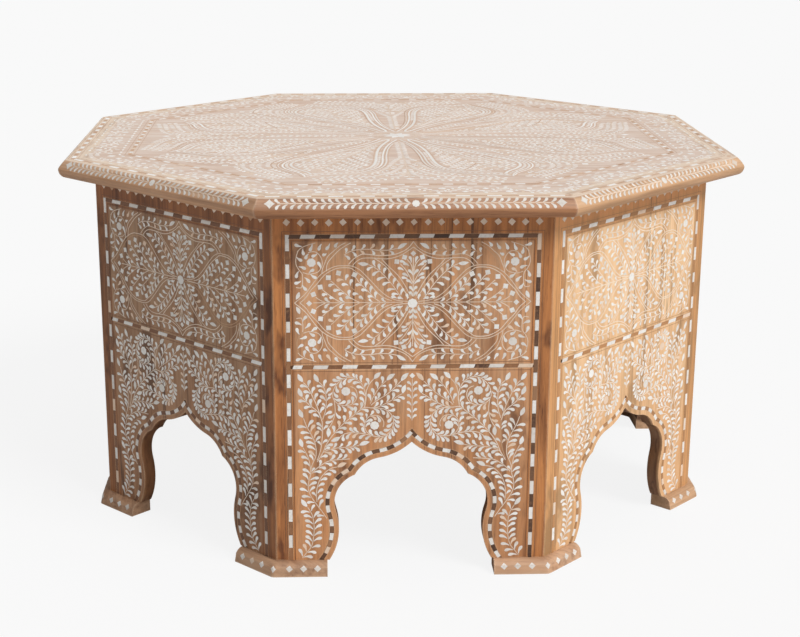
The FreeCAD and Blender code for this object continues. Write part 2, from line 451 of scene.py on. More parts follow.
def flat_place(tree):
    """The place on the first side that a panel keeps, in three parts."""
    return split(tree, kept(tree, "flat", "Vector"))


def outer_face(tree):
    """Mask of the outer face of a panel, which is gone a few millimetres into its thickness."""
    return between(tree, flat_place(tree)[1], 5 * mm - drum_apothem, 1 * mm - drum_apothem)


def painted_head_light(tree, tone):
    """Share of painted light on the head of a pale panel, above its banding, where the rim's shadow falls."""
    banding_edge = (band_top + 2.5) * mm
    head = between(tree, flat_place(tree)[2], banding_edge, banding_edge + 8 * mm, 0.0, 0.4)
    return times(tree, head, between(tree, tone, 0.05, 0.24))


def field_lime(tree):
    """Share of lime on a panel, which lies in the fields inside its banding, most at their top."""
    across, _, height = flat_place(tree)
    aside = math_node(tree, "ABSOLUTE", across)
    within = between(tree, aside, (band_aside - 5) * mm, (band_aside - 8) * mm)
    below = between(tree, height, (band_top - 4.5) * mm, (band_top - 7.5) * mm)
    # The share of lime follows the side's painted light and shade: most on the sunlit side, which it makes
    # paler, and more on the shaded side too
    tone = kept(tree, "tone")
    pale_side = between(tree, tone, 0.0, 0.2, 0.45, 1.0)
    dark_side = between(tree, tone, -0.2, -0.5, 0.45, 0.76)
    amount = math_node(tree, "MAXIMUM", pale_side, dark_side)
    amount = times(tree, amount, between(tree, height, 0.1, 0.36, 0.5, 1.1))
    return times(tree, times(tree, within, below), amount)


def edge_lime(tree):
    """Share of lime on the top's edge: none underneath, most on the flat rim."""
    height = split(tree, add_node(tree, "TexCoord").outputs["Object"])[2]
    lip = top_height - rim_drop
    # The lime on the rim is partly the wood's own; keeping the lip and underside dark and unlimed is painted
    # shade under the top
    slope = between(tree, height, lip - 1 * mm, lip + 4 * mm, 0.0, 0.28)
    level = between(tree, height, top_height - 1.2 * mm, top_height - 0.2 * mm, 0.0, 1.4)
    # More lime on the lengths of edge with painted light
    aside = between(tree, kept(tree, "tone"), 0.0, 0.05, 0.0, 0.15)
    return plus(tree, plus(tree, slope, level), aside)


def rgb(red, green, blue):
    """Colour of a picture's numbers, 0 to 255, as the shaders take it."""
    values = []
    for value in (red, green, blue):
        value = value / 255
        values.append(value / 12.92 if value <= 0.04045 else ((value + 0.055) / 1.055) ** 2.4)
    return (values[0], values[1], values[2], 1.0)


def chip_material(name, light, dark, odd, dirt, rough, sunny=None, shady=None):
    """Finish of the inlay: each chip has its own tint, a few an odd one, with streaks and specks of dirt.

    Chips that aren't bone take painted sunlight on a pale side, and dark ones painted shade on a dark side.
    """
    tree, shader = begin_material(name)
    vector = object_vector(tree)
    tint = kept(tree, "tint")
    colour = mix_colour(tree, tint, light, dark)
    colour = mix_colour(tree, between(tree, tint, 0.94, 0.95), colour, odd)
    # Painted light and shade by the side's tone
    if sunny:
        colour = mix_colour(tree, between(tree, kept(tree, "tone"), 0.0, 0.5), colour, sunny)
    if shady:
        colour = mix_colour(tree, between(tree, kept(tree, "tone"), 0.0, -0.5, 0.0, 0.75), colour, shady)
    cloud = noise(tree, vector, 260.0, detail=3.0, roughness=0.6)
    share = times(tree, between(tree, cloud, 0.5, 0.72), 0.35)
    colour = mix_colour(tree, share, colour, dirt)
    feed(tree, shader.inputs["Base Color"], colour)
    feed(tree, shader.inputs["Roughness"], between(tree, cloud, 0.3, 0.7, rough, rough + 0.18))
    bump(tree, shader, noise(tree, vector, (900, 900, 400), detail=2.0), strength=0.25, distance=0.0003)


def make_chip_materials(look):
    """Finishes of the bone and of the dark wood chips."""
    # Painted sunlight and painted shade of the chips on the sides that face the window and turn from it
    sunlit_chip_colour = rgb(214, 156, 98)
    shaded = rgb(122, 82, 56)
    chip_material(
        "bone", look.bone_light, look.bone_dark,
        odd=rgb(224, 198, 174), dirt=rgb(176, 160, 142), rough=0.38,
    )
    chip_material(
        "top_bone", look.top_bone_light, look.top_bone_dark,
        odd=rgb(226, 204, 182), dirt=rgb(200, 182, 162), rough=0.4,
    )
    # Duller bone of the edge and the feet: painted shade that keeps the window-lit slope no brighter than the
    # top
    chip_material(
        "old_bone", look.shaded_bone_light, look.shaded_bone_dark,
        odd=rgb(208, 184, 162), dirt=rgb(164, 146, 128), rough=0.45,
    )
    chip_material(
        "dark_chip", rgb(120, 84, 58), rgb(64, 40, 26),
        odd=rgb(150, 110, 78), dirt=rgb(150, 112, 80), rough=0.5, sunny=sunlit_chip_colour, shady=shaded,
    )
    chip_material(
        "brown_chip", rgb(210, 174, 146), rgb(190, 152, 122),
        odd=rgb(178, 138, 108), dirt=rgb(218, 196, 174), rough=0.5, sunny=sunlit_chip_colour, shady=shaded,
    )
    # The pale lines take a paler painted sunlight
    chip_material(
        "pale_line", rgb(230, 214, 196), rgb(212, 190, 168),
        odd=rgb(184, 146, 112), dirt=rgb(176, 140, 110), rough=0.5, sunny=rgb(244, 232, 214),
    )
    chip_material(
        "walnut_chip", rgb(150, 104, 68), rgb(112, 72, 44),
        odd=rgb(84, 54, 36), dirt=rgb(176, 132, 94), rough=0.5, sunny=sunlit_chip_colour, shady=shaded,
    )


def make_materials():
    """All finishes of the stool."""
    look = bpy.context.scene.stool_finish
    make_grain_group()
    make_wear_group()
    make_crack_group()
    make_chip_materials(look)
    _, shader = begin_material("screw_steel")
    shader.inputs["Base Color"].default_value = rgb(188, 184, 176)
    shader.inputs["Metallic"].default_value = 1.0
    shader.inputs["Roughness"].default_value = 0.42
    wood(
        "panel_wood", board_vector, look.panel_light, look.panel_dark, rgb(226, 192, 156),
        streaks=0.9, figure=0.7, stains=0.9, rough=0.46, relief=0.35, wear=0.5, limed=field_lime, cracks=0.85,
    )
    wood(
        "foot_grain", board_vector, look.foot_light, look.foot_dark, rgb(218, 190, 162),
        streaks=0.7, figure=0.7, stains=0.6, rough=0.5, relief=0.35, wear=0.55, limed=lambda tree: 0.42,
    )
    wood(
        "edge_wood", board_vector, look.edge_light, look.edge_dark, rgb(226, 206, 186),
        streaks=0.6, figure=0.7, stains=0.6, rough=0.48, relief=0.35, wear=0.3, limed=edge_lime,
    )
    wood(
        "table_wood", lambda tree: object_vector(tree, (0, math.pi / 2, 0)),
        look.top_light, look.top_dark, rgb(236, 229, 224),
        streaks=0.4, figure=0.4, stains=0.6, rough=0.5, relief=0.3, limed=lambda tree: 0.6,
    )
    wood(
        "block_wood", object_vector, rgb(176, 128, 88), rgb(104, 66, 42), rgb(196, 152, 112),
        streaks=0.5, figure=0.6, stains=0.4, rough=0.62, relief=0.4, wear=0.2,
    )


# Pieces of wood


def moulding_section():
    """Section of the top's edge, as distances from the middle of the table and heights."""
    inner = -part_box("top_edge_moulding_1")[1].y
    lip_bottom = lip_top - Vector((0, rim_lip))
    under_edge = Vector((rim_apothem - under_edge_inset, under_top))
    section = [Vector((inner, under_top))]
    section += bowed(under_edge, lip_bottom, sag=under_edge_sag, steps=6)
    section += bowed(lip_top, arris, sag=slope_sag, steps=5)
    section.append(Vector((inner, top_height)))
    return section


def left_of(way):
    """Vector a quarter turn to the left."""
    return Vector((-way.y, way.x))


def right_of(way):
    """Vector a quarter turn to the right."""
    return Vector((way.y, -way.x))


def bowed(start, end, sag, steps):
    """Points from start to end, bowed out by the sag."""
    chord = end - start
    outward = right_of(chord).normalized()
    points = []
    for step in range(steps + 1):
        share = step / steps
        rise = 4 * share * (1 - share) * sag
        points.append(start.lerp(end, share) + outward * rise)
    return points


def rim_place(distance, height, side, angle):
    """Point of the rounded rim on the first side: -1 or 1 for its end, and the angle round the corner."""
    arc_centre = rim_apothem - rim_corner_radius
    reach = min(distance, arc_centre)
    beyond = max(distance - arc_centre, 0)
    x = reach * corner_slope + beyond * math.sin(angle)
    y = -reach - beyond * math.cos(angle)
    return Vector((side * x, y, height))


def build_edge_moulding():
    """The eight lengths of the top's edge, rounded at the corners."""
    section = moulding_section()
    steps = 4
    stations = [(-1, half_corner * (steps - k) / steps) for k in range(steps + 1)]
    stations += [(1, half_corner * k / steps) for k in range(steps + 1)]
    for side in range(side_count):
        bm = bmesh.new()
        first = [bm.verts.new(rim_place(p.x, p.y, *stations[0])) for p in section]
        face = bm.faces.new(first)
        for station in stations[1:]:
            made = bmesh.ops.extrude_face_region(bm, geom=[face])
            bmesh.ops.delete(bm, geom=[face], context="FACES_ONLY")
            face = new_faces(made)[0]
            for vert, point in zip(face.verts, section):
                vert.co = rim_place(point.x, point.y, *station)
        bm.faces.new(first)
        bmesh.ops.remove_doubles(bm, verts=bm.verts, dist=1e-6)
        bmesh.ops.recalc_face_normals(bm, faces=bm.faces)

        def lengthwise(edge):
            """True for an edge of the profile that isn't in the mitres."""
            ends = [abs(abs(v.co.x) + v.co.y * corner_slope) for v in edge.verts]
            inner = [-v.co.y < section[0].x + 1e-5 for v in edge.verts]
            return not (ends[0] < 1e-5 and ends[1] < 1e-5) and not all(inner)

        round_edges(bm, bpy.context.scene.stool_finish.rim_rounding, segments=3, limit=25, wanted=lengthwise)
        seed = Vector((side * 0.37, 0, side * 1.3))
        # The length of the edge takes its side's painted light and shade, all but its flat top
        lay_grain(bm, lambda co: co.zyx + seed, painted_edge_light[side])
        for vert in bm.verts:
            if vert.co.z > top_height - 0.1 * mm:
                vert[bm.verts.layers.float["tone"]] = 0.0
        bmesh.ops.transform(bm, matrix=turn(side), verts=bm.verts)
        piece = add_piece(f"top_edge_{side + 1}", bm, finishes("edge_wood"))
        even_shading(piece)
        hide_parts(f"top_edge_moulding_{side + 1}")


def build_side_panels():
    """The eight arched panels, with eased edges."""
    for side in range(side_count):
        bm = solid_copy(f"side_panel_{side + 1}")
        round_edges(bm, bpy.context.scene.stool_finish.panel_rounding, segments=2, limit=40)
        back = turn(-side)
        seed = Vector((side * 0.83, side * 0.4, side * 1.9))
        # The panel takes its side's painted light and shade
        lay_grain(bm, lambda co: back @ co + seed, painted_side_light[side], back)
        piece = add_piece(f"panel_{side + 1}", bm, finishes("panel_wood"))
        even_shading(piece)
        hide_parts(f"side_panel_{side + 1}")


def build_feet():
    """The eight feet, with soft corners."""
    for side in range(side_count):
        bm = solid_copy(f"foot_block_{side + 1}")
        corner = turn(side) @ Vector((math.sin(half_corner), -math.cos(half_corner), 0))

        def outer_corner(edge):
            """True for an edge of the foot's outer corner."""
            for vert in edge.verts:
                aside = vert.co.x * corner.y - vert.co.y * corner.x
                if abs(aside) > 1e-5 or vert.co.xy.length < drum_apothem:
                    return False
            return True

        round_edges(bm, foot_radius * corner_slope, segments=5, limit=18, wanted=outer_corner)
        round_edges(bm, bpy.context.scene.stool_finish.foot_rounding, segments=3, limit=18)
        back = turn(-side)
        seed = Vector((side * 0.53, 0, side * 1.1))
        # The foot takes a weaker share of its side's painted light and shade
        lay_grain(bm, lambda co: (back @ co).zyx + seed, painted_side_light[side] * 0.4)
        piece = add_piece(f"foot_{side + 1}", bm, finishes("foot_grain"))
        even_shading(piece)
        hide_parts(f"foot_block_{side + 1}")


def finish_nodes():
    """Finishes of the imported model's pieces that stay as they are."""
    woods = {"top_board": "table_wood", "top_cleat": "block_wood", "corner_glue_block": "block_wood"}
    for name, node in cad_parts.items():
        for start, finish in woods.items():
            if name.startswith(start):
                node.data.materials.clear()
                node.data.materials.append(bpy.data.materials[finish])


def draw_screw(bm):
    """Countersunk screw with its head's face on the floor plane, pointing up the Z axis from the origin."""
    head = 4 * mm
    shank = 1.9 * mm
    countersink = 2.6 * mm
    length = 38 * mm
    tip = 6 * mm
    head_rim = 0.5 * mm
    slot_width = 1 * mm
    slot_depth = 1.1 * mm
    made = bmesh.ops.create_cone(
        bm, cap_ends=True, segments=24, radius1=head, radius2=shank, depth=countersink,
    )
    bmesh.ops.translate(bm, vec=(0, 0, countersink / 2), verts=made["verts"])
    upper = max(bm.faces, key=lambda face: face.calc_center_median().z)
    lower = min(bm.faces, key=lambda face: face.calc_center_median().z)
    for rise, spread in ((length - tip - countersink, 1.0), (tip, 0.08)):
        made = bmesh.ops.extrude_face_region(bm, geom=[upper])
        bmesh.ops.delete(bm, geom=[upper], context="FACES_ONLY")
        upper = new_faces(made)[0]
        bmesh.ops.translate(bm, vec=(0, 0, rise), verts=upper.verts)
        bmesh.ops.scale(bm, vec=(spread, spread, 1), verts=upper.verts)
    bmesh.ops.inset_region(bm, faces=[lower], thickness=head_rim)
    pieces = [lower] + list(lower.edges) + list(lower.verts)
    for side in (-1, 1):
        cut = (0, side * slot_width / 2, 0)
        made = bmesh.ops.bisect_plane(bm, geom=pieces, plane_co=cut, plane_no=(0, 1, 0))
        pieces = made["geom"]
    slot = min(new_faces(made), key=lambda face: abs(face.calc_center_median().y))
    made = bmesh.ops.extrude_face_region(bm, geom=[slot])
    bmesh.ops.delete(bm, geom=[slot], context="FACES_ONLY")
    bmesh.ops.translate(bm, vec=(0, 0, slot_depth), verts=new_verts(made))
    bmesh.ops.recalc_face_normals(bm, faces=bm.faces)


def build_cleat_screws():
    """Screws that hold the top, two through each cleat, their heads level with the cleat's underside."""
    from_end = 40 * mm
    from_face = 10 * mm
    head_rise = 0.15 * mm
    low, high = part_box("top_cleat_1")
    chance = random.Random(41)
    bm = bmesh.new()
    draw_screw(bm)
    pattern_verts = bm.verts[:]
    pattern = pattern_verts + bm.edges[:] + bm.faces[:]
    for side in range(side_count):
        for end in (-1, 1):
            made = bmesh.ops.duplicate(bm, geom=pattern)
            turned = Matrix.Rotation(chance.uniform(0, math.pi), 4, "Z")
            place = Matrix.Translation((end * (high.x - from_end), low.y + from_face, low.z - head_rise))
            bmesh.ops.transform(bm, matrix=turn(side) @ place @ turned, verts=new_verts(made))
    bmesh.ops.delete(bm, geom=pattern_verts, context="VERTS")
    add_piece("cleat_screws", bm, finishes("screw_steel"))


# Flat inlay, drawn in millimetres on a plane and then laid on the wood


class Line:
    """Smooth line through chosen points, in millimetres."""

    def __init__(self, points, smooth=True, step=2.0):
        points = [Vector(point) for point in points]
        row = [points[0]]
        if smooth and len(points) > 2:
            ends = [2 * points[0] - points[1]] + points + [2 * points[-1] - points[-2]]
            for k in range(1, len(ends) - 2):
                p0, p1, p2, p3 = ends[k - 1:k + 3]
                count = max(1, round((p2 - p1).length / step))
                for i in range(1, count + 1):
                    t = i / count
                    bend = (2 * p0 - 5 * p1 + 4 * p2 - p3) * t * t + (3 * p1 - p0 - 3 * p2 + p3) * t * t * t
                    row.append((2 * p1 + (p2 - p0) * t + bend) / 2)
        else:
            row = points
        self.points = row
        self.reach = [0.0]
        for first, second in zip(row, row[1:]):
            self.reach.append(self.reach[-1] + (second - first).length)
        self.length = self.reach[-1]

    def place(self, distance):
        """Point and direction at a distance along the line."""
        distance = min(max(distance, 0), self.length)
        k = 1
        while k < len(self.reach) - 1 and self.reach[k] < distance:
            k += 1
        first, second = self.points[k - 1:k + 1]
        way = (second - first).normalized()
        return first + way * (distance - self.reach[k - 1]), way

    def nearest(self, point):
        """Distance along the line of the place nearest a point, and how far that is."""
        best = min(range(len(self.points)), key=lambda k: (self.points[k] - point).length)
        return self.reach[best], (self.points[best] - point).length


def straight(*points):
    """Line of straight lengths between points."""
    return Line(points, smooth=False)


class Field:
    """Inlay drawn on a plane. Every chip keeps its number, so that each gets its own tint."""

    def __init__(self, seed):
        self.bm = bmesh.new()
        self.chip = self.bm.verts.layers.int.new("chip")
        self.count = 0
        self.random = random.Random(seed)
        self.cells = {}
        self.proud = bpy.context.scene.stool_finish.bone_rise / mm
        self.sunk = 0.5
        self.limit = None

    def cell(self, point):
        """Column and row of a point in a grid of 6 mm."""
        return int(point.x // 6), int(point.y // 6)

    def take(self, point, radius):
        """Marks a spot as used."""
        self.cells.setdefault(self.cell(point), []).append((point.x, point.y, radius))

    def take_line(self, line, radius, step=2.0):
        """Marks a line as used."""
        for k in range(int(line.length / step) + 1):
            self.take(line.place(k * step)[0], radius)

    def free(self, point, radius):
        """True where nothing else is near."""
        column, row = self.cell(point)
        for i in (-1, 0, 1):
            for j in (-1, 0, 1):
                for x, y, other in self.cells.get((column + i, row + j), ()):
                    if (x - point.x) ** 2 + (y - point.y) ** 2 < (radius + other) ** 2:
                        return False
        return True

    def thicken(self, verts, material, proud):
        """Turns a flat chip into a closed one that is let into the wood."""
        faces = list({face for vert in verts for face in vert.link_faces})
        made = bmesh.ops.extrude_face_region(self.bm, geom=faces)
        for level, group in ((-self.sunk, verts), (proud, new_verts(made))):
            for vert in group:
                vert.co.z = level
                vert[self.chip] = self.count
                for face in vert.link_faces:
                    face.material_index = material
        self.count += 1

    def strip(self, places, widths, material=bone_chip, proud=None, slant=0.0):
        """Chip along a row of points, with its half width at each."""
        count = len(places)
        verts = bmesh.ops.create_grid(self.bm, x_segments=count - 1, y_segments=1, size=1)["verts"]
        for vert in verts:
            k = round((vert.co.x + 1) / 2 * (count - 1))
            side = 1 if vert.co.y > 0 else -1
            before = places[max(k - 1, 0)]
            after = places[min(k + 1, count - 1)]
            way = (after - before).normalized()
            point = places[k] + left_of(way) * side * widths[k] + way * side * slant
            vert.co = (point.x, point.y, 0)
        self.thicken(verts, material, self.proud if proud is None else proud)

    def stem(self, line, width=0.95, material=stem_line, step=3.2, take=True):
        """Thin line of the drawing."""
        count = max(2, round(line.length / step) + 1)
        places = [line.place(line.length * k / (count - 1))[0] for k in range(count)]
        self.strip(places, [width / 2] * count, material=material, proud=0.04 + 0.002 * (self.count % 9))
        if take:
            self.take_line(line, 0.5)

    def leaf(self, tail, head, bend, size=1.0, check=True, clear=2.3):
        """Comma leaf from the tip of its tail to the middle of its head."""
        way = head - tail
        aside = left_of(way).normalized()
        middle = tail + way * 0.55 - aside * bend
        tip = head + (head - middle).normalized() * 1.9 * size
        places = []
        for t in (0, 0.22, 0.42, 0.6, 0.76, 0.9, 1):
            places.append(tail * (1 - t) ** 2 + middle * 2 * t * (1 - t) + tip * t * t)
        widths = [width * size for width in (0.35, 0.75, 1.2, 1.75, 2.1, 1.75, 0.65)]
        if self.limit and not all(self.limit(place, width) for place, width in zip(places, widths)):
            return False
        spots = ((1, 1.0), (3, clear * 0.8), (4, clear), (6, clear * 0.6))
        if check and not all(self.free(places[k], radius * size) for k, radius in spots):
            return False
        self.strip(places, widths)
        for k, radius in ((1, 0.7), (2, 1.1), (3, 1.6), (4, 2.1), (5, 1.8)):
            self.take(places[k], radius * size)
        return True

    def bud(self, base, tip, width=2.75):
        """Pointed bud."""
        way = tip - base
        aside = left_of(way).normalized() * way.length * 0.05
        places = []
        for t in (0, 0.14, 0.32, 0.52, 0.72, 0.88, 1):
            places.append(base + way * t + aside * math.sin(math.pi * t))
        widths = [0.5, 1.6, 2.5, 2.75, 2.05, 1.0, 0.12]
        self.strip(places, [w * width / 2.75 for w in widths])
        for k in (1, 2, 3, 4, 5):
            self.take(places[k], width * 0.75)

    def plate(self, centre, radius, corners, turned=0.0, shape=None, material=bone_chip):
        """Flat plate with corners; shape may change its radius round about."""
        made = bmesh.ops.create_circle(self.bm, cap_ends=True, cap_tris=True, segments=corners, radius=1)
        verts = made["verts"]
        for vert in verts:
            angle = math.atan2(vert.co.y, vert.co.x)
            reach = radius * (shape(angle) if shape else 1) * vert.co.length
            vert.co.x = centre[0] + reach * math.cos(angle + turned)
            vert.co.y = centre[1] + reach * math.sin(angle + turned)
        self.thicken(verts, material, self.proud)
        self.take(Vector(centre), radius * 0.9)

    def tile(self, centre, radius, turned, steps=5):
        """Diamond of small squares, which can follow a rounded face."""
        half_side = radius * math.cos(math.pi / 4)
        verts = bmesh.ops.create_grid(self.bm, x_segments=steps, y_segments=steps, size=half_side)["verts"]
        turning = Matrix.Rotation(math.pi / 4 + turned, 3, "Z")
        bmesh.ops.rotate(self.bm, cent=(0, 0, 0), matrix=turning, verts=verts)
        bmesh.ops.translate(self.bm, vec=(centre[0], centre[1], 0), verts=verts)
        self.thicken(verts, bone_chip, self.proud)

    def disc(self, centre, radius=5.4):
        """Round chip with a slightly scalloped rim."""
        turned = self.random.uniform(0, 1)
        self.plate(centre, radius, 16, turned=turned, shape=lambda angle: 1 + 0.05 * math.cos(8 * angle))

    def square(self, centre, radius=4.1, turned=0.6):
        """Square chip."""
        self.plate(centre, radius, 4, turned=turned)

    def leaves_on(self, lines, heads, size=1.0):
        """Leaves with their heads at given places, whose tails run back to the nearest stem."""
        for head in heads:
            head = Vector(head)
            line = min(lines, key=lambda item: item.nearest(head)[1])
            near, _ = line.nearest(head)
            point, way = line.place(near - 4.6 * size)
            side = 1 if way.x * (head - point).y - way.y * (head - point).x > 0 else -1
            tail = point + left_of(way) * side * 1.1
            self.leaf(tail, head, bend=side * 1.9 * size, size=size, check=False)

    def leafy(self, line, start=5.0, end=4.0, pitch=9.0, sides=(1, -1), size=1.0, clear=2.3, reach_out=5.8):
        """Leaves in pairs along a stem, where there is room."""
        count = int((line.length - start - end) / pitch) + 1
        for k in range(count):
            for side in sides:
                distance = start + k * pitch + self.random.uniform(-0.6, 0.6)
                spread = reach_out + self.random.uniform(-0.4, 0.4)
                for move, share in ((0, 1.0), (1.6, 1.0), (-1.6, 1.0), (0, 0.86), (1.8, 0.86), (0, 0.74)):
                    if distance + move > line.length - end:
                        continue
                    point, way = line.place(distance + move)
                    aside = left_of(way) * side
                    reach = size * share
                    tail = point + aside * 1.2 - way * 2.2 * reach
                    head = point + (aside * spread + way * 3.2) * reach
                    if self.leaf(tail, head, bend=side * 2.1 * reach, size=reach, check=True, clear=clear):
                        break

    def bundle(self, line, width, lines):
        """White line with fine brown ones beside it."""
        self.stem(line, width=width, material=bone_chip, step=4.0)
        for aside in lines:
            row = []
            for k in range(int(line.length / 5) + 1):
                point, way = line.place(k * 5)
                row.append(point + left_of(way) * aside)
            self.stem(straight(*row), width=0.8, material=edge_line, step=5.0, take=False)

    def repeat(self, matrix, mirrored=False):
        """Adds a turned or mirrored copy of all that is drawn so far."""
        made = bmesh.ops.duplicate(self.bm, geom=self.bm.verts[:] + self.bm.edges[:] + self.bm.faces[:])
        verts = new_verts(made)
        bmesh.ops.transform(self.bm, matrix=matrix, verts=verts)
        if mirrored:
            bmesh.ops.reverse_faces(self.bm, faces=new_faces(made))
        for vert in verts:
            vert[self.chip] += self.count
        self.count *= 2

    def laid(self, place, seed, tone=0.0):
        """Copy of the field with its chips on the wood, each with its own tint and slight shift."""
        bm = self.bm.copy()
        chip = bm.verts.layers.int["chip"]
        tint = bm.verts.layers.float.new("tint")
        painted_light_layer = bm.verts.layers.float.new("tone")
        chance = random.Random(seed)
        aside = 0.12
        uneven = 0.018
        tints = [chance.random() for _ in range(self.count)]
        shifts = [(chance.gauss(0, aside), chance.gauss(0, aside)) for _ in range(self.count)]
        rises = [chance.uniform(-uneven, uneven) for _ in range(self.count)]
        for vert in bm.verts:
            number = vert[chip]
            vert[tint] = tints[number]
            # Each chip takes its side's painted light and shade
            vert[painted_light_layer] = tone
            co = vert.co
            rise = rises[number] if co.z > 0 else 0
            vert.co = place(co.x + shifts[number][0], co.y + shifts[number][1], co.z + rise)
        return bm


def add_inlay(name, field, place, seed, materials, tone=0.0):
    """Lays a field on the wood as one piece."""
    bm = field.laid(place, seed, tone)
    bmesh.ops.recalc_face_normals(bm, faces=bm.faces)
    return add_piece(name, bm, materials)


def mirror_matrix(about_height=None):
    """Mirror across the upright middle line, or across a level line."""
    if about_height is None:
        return Matrix.Diagonal((-1, 1, 1, 1))
    return Matrix.Translation((0, 2 * about_height, 0)) @ Matrix.Diagonal((1, -1, 1, 1))


# Arch of a side, in millimetres, as the panel has it


def arch_line(offset):
    """Line at an offset into the wood from the right half of the arch, from the top down.

    It runs along four circles: the ogee, the shoulder, the lobe and the waist. The ogee and the waist bow
    into the opening, so they shrink with the offset, and the other two grow.
    """
    cusp = Vector((69.8, 130.5))
    shoulder = Vector((32.2, 111.3))
    heel_drop = 40.5
    circles = [
        (Vector((52.27, 226.79)), 75 - offset),
        (shoulder, (cusp - shoulder).length + offset),
        (Vector((55.97, 94)), 39.03 + offset),
        (Vector((167.78, 58.5)), 78.28 - offset),
    ]
    (c1, r1), (c2, r2), (c3, r3), (c4, r4) = circles
    apex = Vector((0, c1.y - math.sqrt(r1 ** 2 - c1.x ** 2)))
    turn_point = c2 + (c1 - c2).normalized() * r2
    apart = (c3 - c2).length
    along = (r2 ** 2 - r3 ** 2 + apart ** 2) / (2 * apart)
    ahead = (c3 - c2) / apart
    aside = left_of(ahead) * math.sqrt(max(r2 ** 2 - along ** 2, 0))
    crossings = [c2 + ahead * along + aside, c2 + ahead * along - aside]
    cusp_point = max(crossings, key=lambda point: point.x)
    neck = c3 + (c4 - c3).normalized() * r3
    heel = c4 + Vector((-math.sqrt(max(r4 ** 2 - heel_drop ** 2, 0)), -heel_drop))
    stops = [apex, turn_point, cusp_point, neck, heel]
    points = []
    for k, (centre, radius) in enumerate(circles):
        start = stops[k] - centre
        angle = start.angle_signed(stops[k + 1] - centre)
        count = max(3, int(abs(angle) * radius / 2.2))
        for i in range(count):
            points.append(centre + Matrix.Rotation(-angle * i / count, 2) @ start)
    points.append(heel)
    return straight(*points)


def left_arch_line(offset):
    """The same line from the left half of the arch."""
    return straight(*[(-point.x, point.y) for point in arch_line(offset).points])


def draw_bands(field):
    """Bone and dark wood banding of a side."""
    gap = 0.1
    half = band_half_width
    chip_half = half - 0.05
    slanted = 0.9
    arch_chip = 9.4
    reach = band_aside - half

    def row(line, cuts, width, slant=0.0, between_whites=dark_chip):
        """Chips between cuts along a line, white and dark in turn, the first one white."""
        count = 2 if len(line.points) < 4 else 4
        for k, (start, end) in enumerate(zip(cuts, cuts[1:])):
            start, end = max(start, 0), min(end, line.length)
            if end - start < 1:
                continue
            step = (end - start - 2 * gap) / (count - 1)
            places = [line.place(start + gap + step * i)[0] for i in range(count)]
            material = between_whites if k % 2 else bone_chip
            field.strip(places, [width] * count, material=material, proud=0.1, slant=slant)

    def cuts_of(starts, length):
        """Cuts of a row of equal white chips."""
        cuts = []
        for start in starts:
            cuts += [start, start + length]
        return cuts

    level = straight((-reach, band_top), (reach, band_top))
    whites = [13.4 + 35.2 * k for k in range(8)]
    row(level, [0, 0.01] + cuts_of(whites, 17.4) + [level.length], chip_half, slanted)
    level = straight((-reach, band_middle), (reach, band_middle))
    whites = [27.4 + 35.5 * k for k in range(8)]
    row(level, [3.2, 14.4] + cuts_of(whites, 17.8) + [level.length], chip_half, slanted, walnut_chip)
    head = band_top + half
    white_spans = [
        (head, 414), (398, 380.5), (362.5, 345), (327.5, 314), (294, 277.5), (261, 244), (225, 208),
        (190, 170), (155.5, 139), (120, 102.5), (85, 69), (51, 34),
    ]
    for x, between_whites in ((-band_aside, walnut_chip), (band_aside, dark_chip)):
        post = straight((x, head), (x, band_foot))
        cuts = []
        for start, end in white_spans:
            cuts += [head - start, head - end]
        row(post, cuts + [post.length], chip_half, 0.0, between_whites)
    outer, inner = half + 3.9, half + 3.1
    lines = []
    for height in (band_top + outer, band_top - inner, band_middle + inner, band_middle - inner):
        reach = band_aside + outer if height > band_top else band_aside - inner
        lines.append([(-reach, height), (reach, height)])
    for end in (-1, 1):
        lines += [
            [(end * (band_aside + outer), band_top + outer), (end * (band_aside + outer), band_foot)],
            [(end * (band_aside - inner), band_top - inner), (end * (band_aside - inner), band_foot)],
        ]
    for points in lines:
        field.strip([Vector(point) for point in points], [0.3, 0.3], material=edge_line, proud=0.03)
    arches = (
        (arch_line(arch_band_offset), [0.0, 0.4, 8.0]),
        (left_arch_line(arch_band_offset), [0.4, 9.6]),
    )
    for line, first in arches:
        count = round((line.length - first[-1]) / arch_chip)
        pitch = (line.length - first[-1]) / count
        row(line, first + [first[-1] + pitch * (k + 1) for k in range(count)], half)


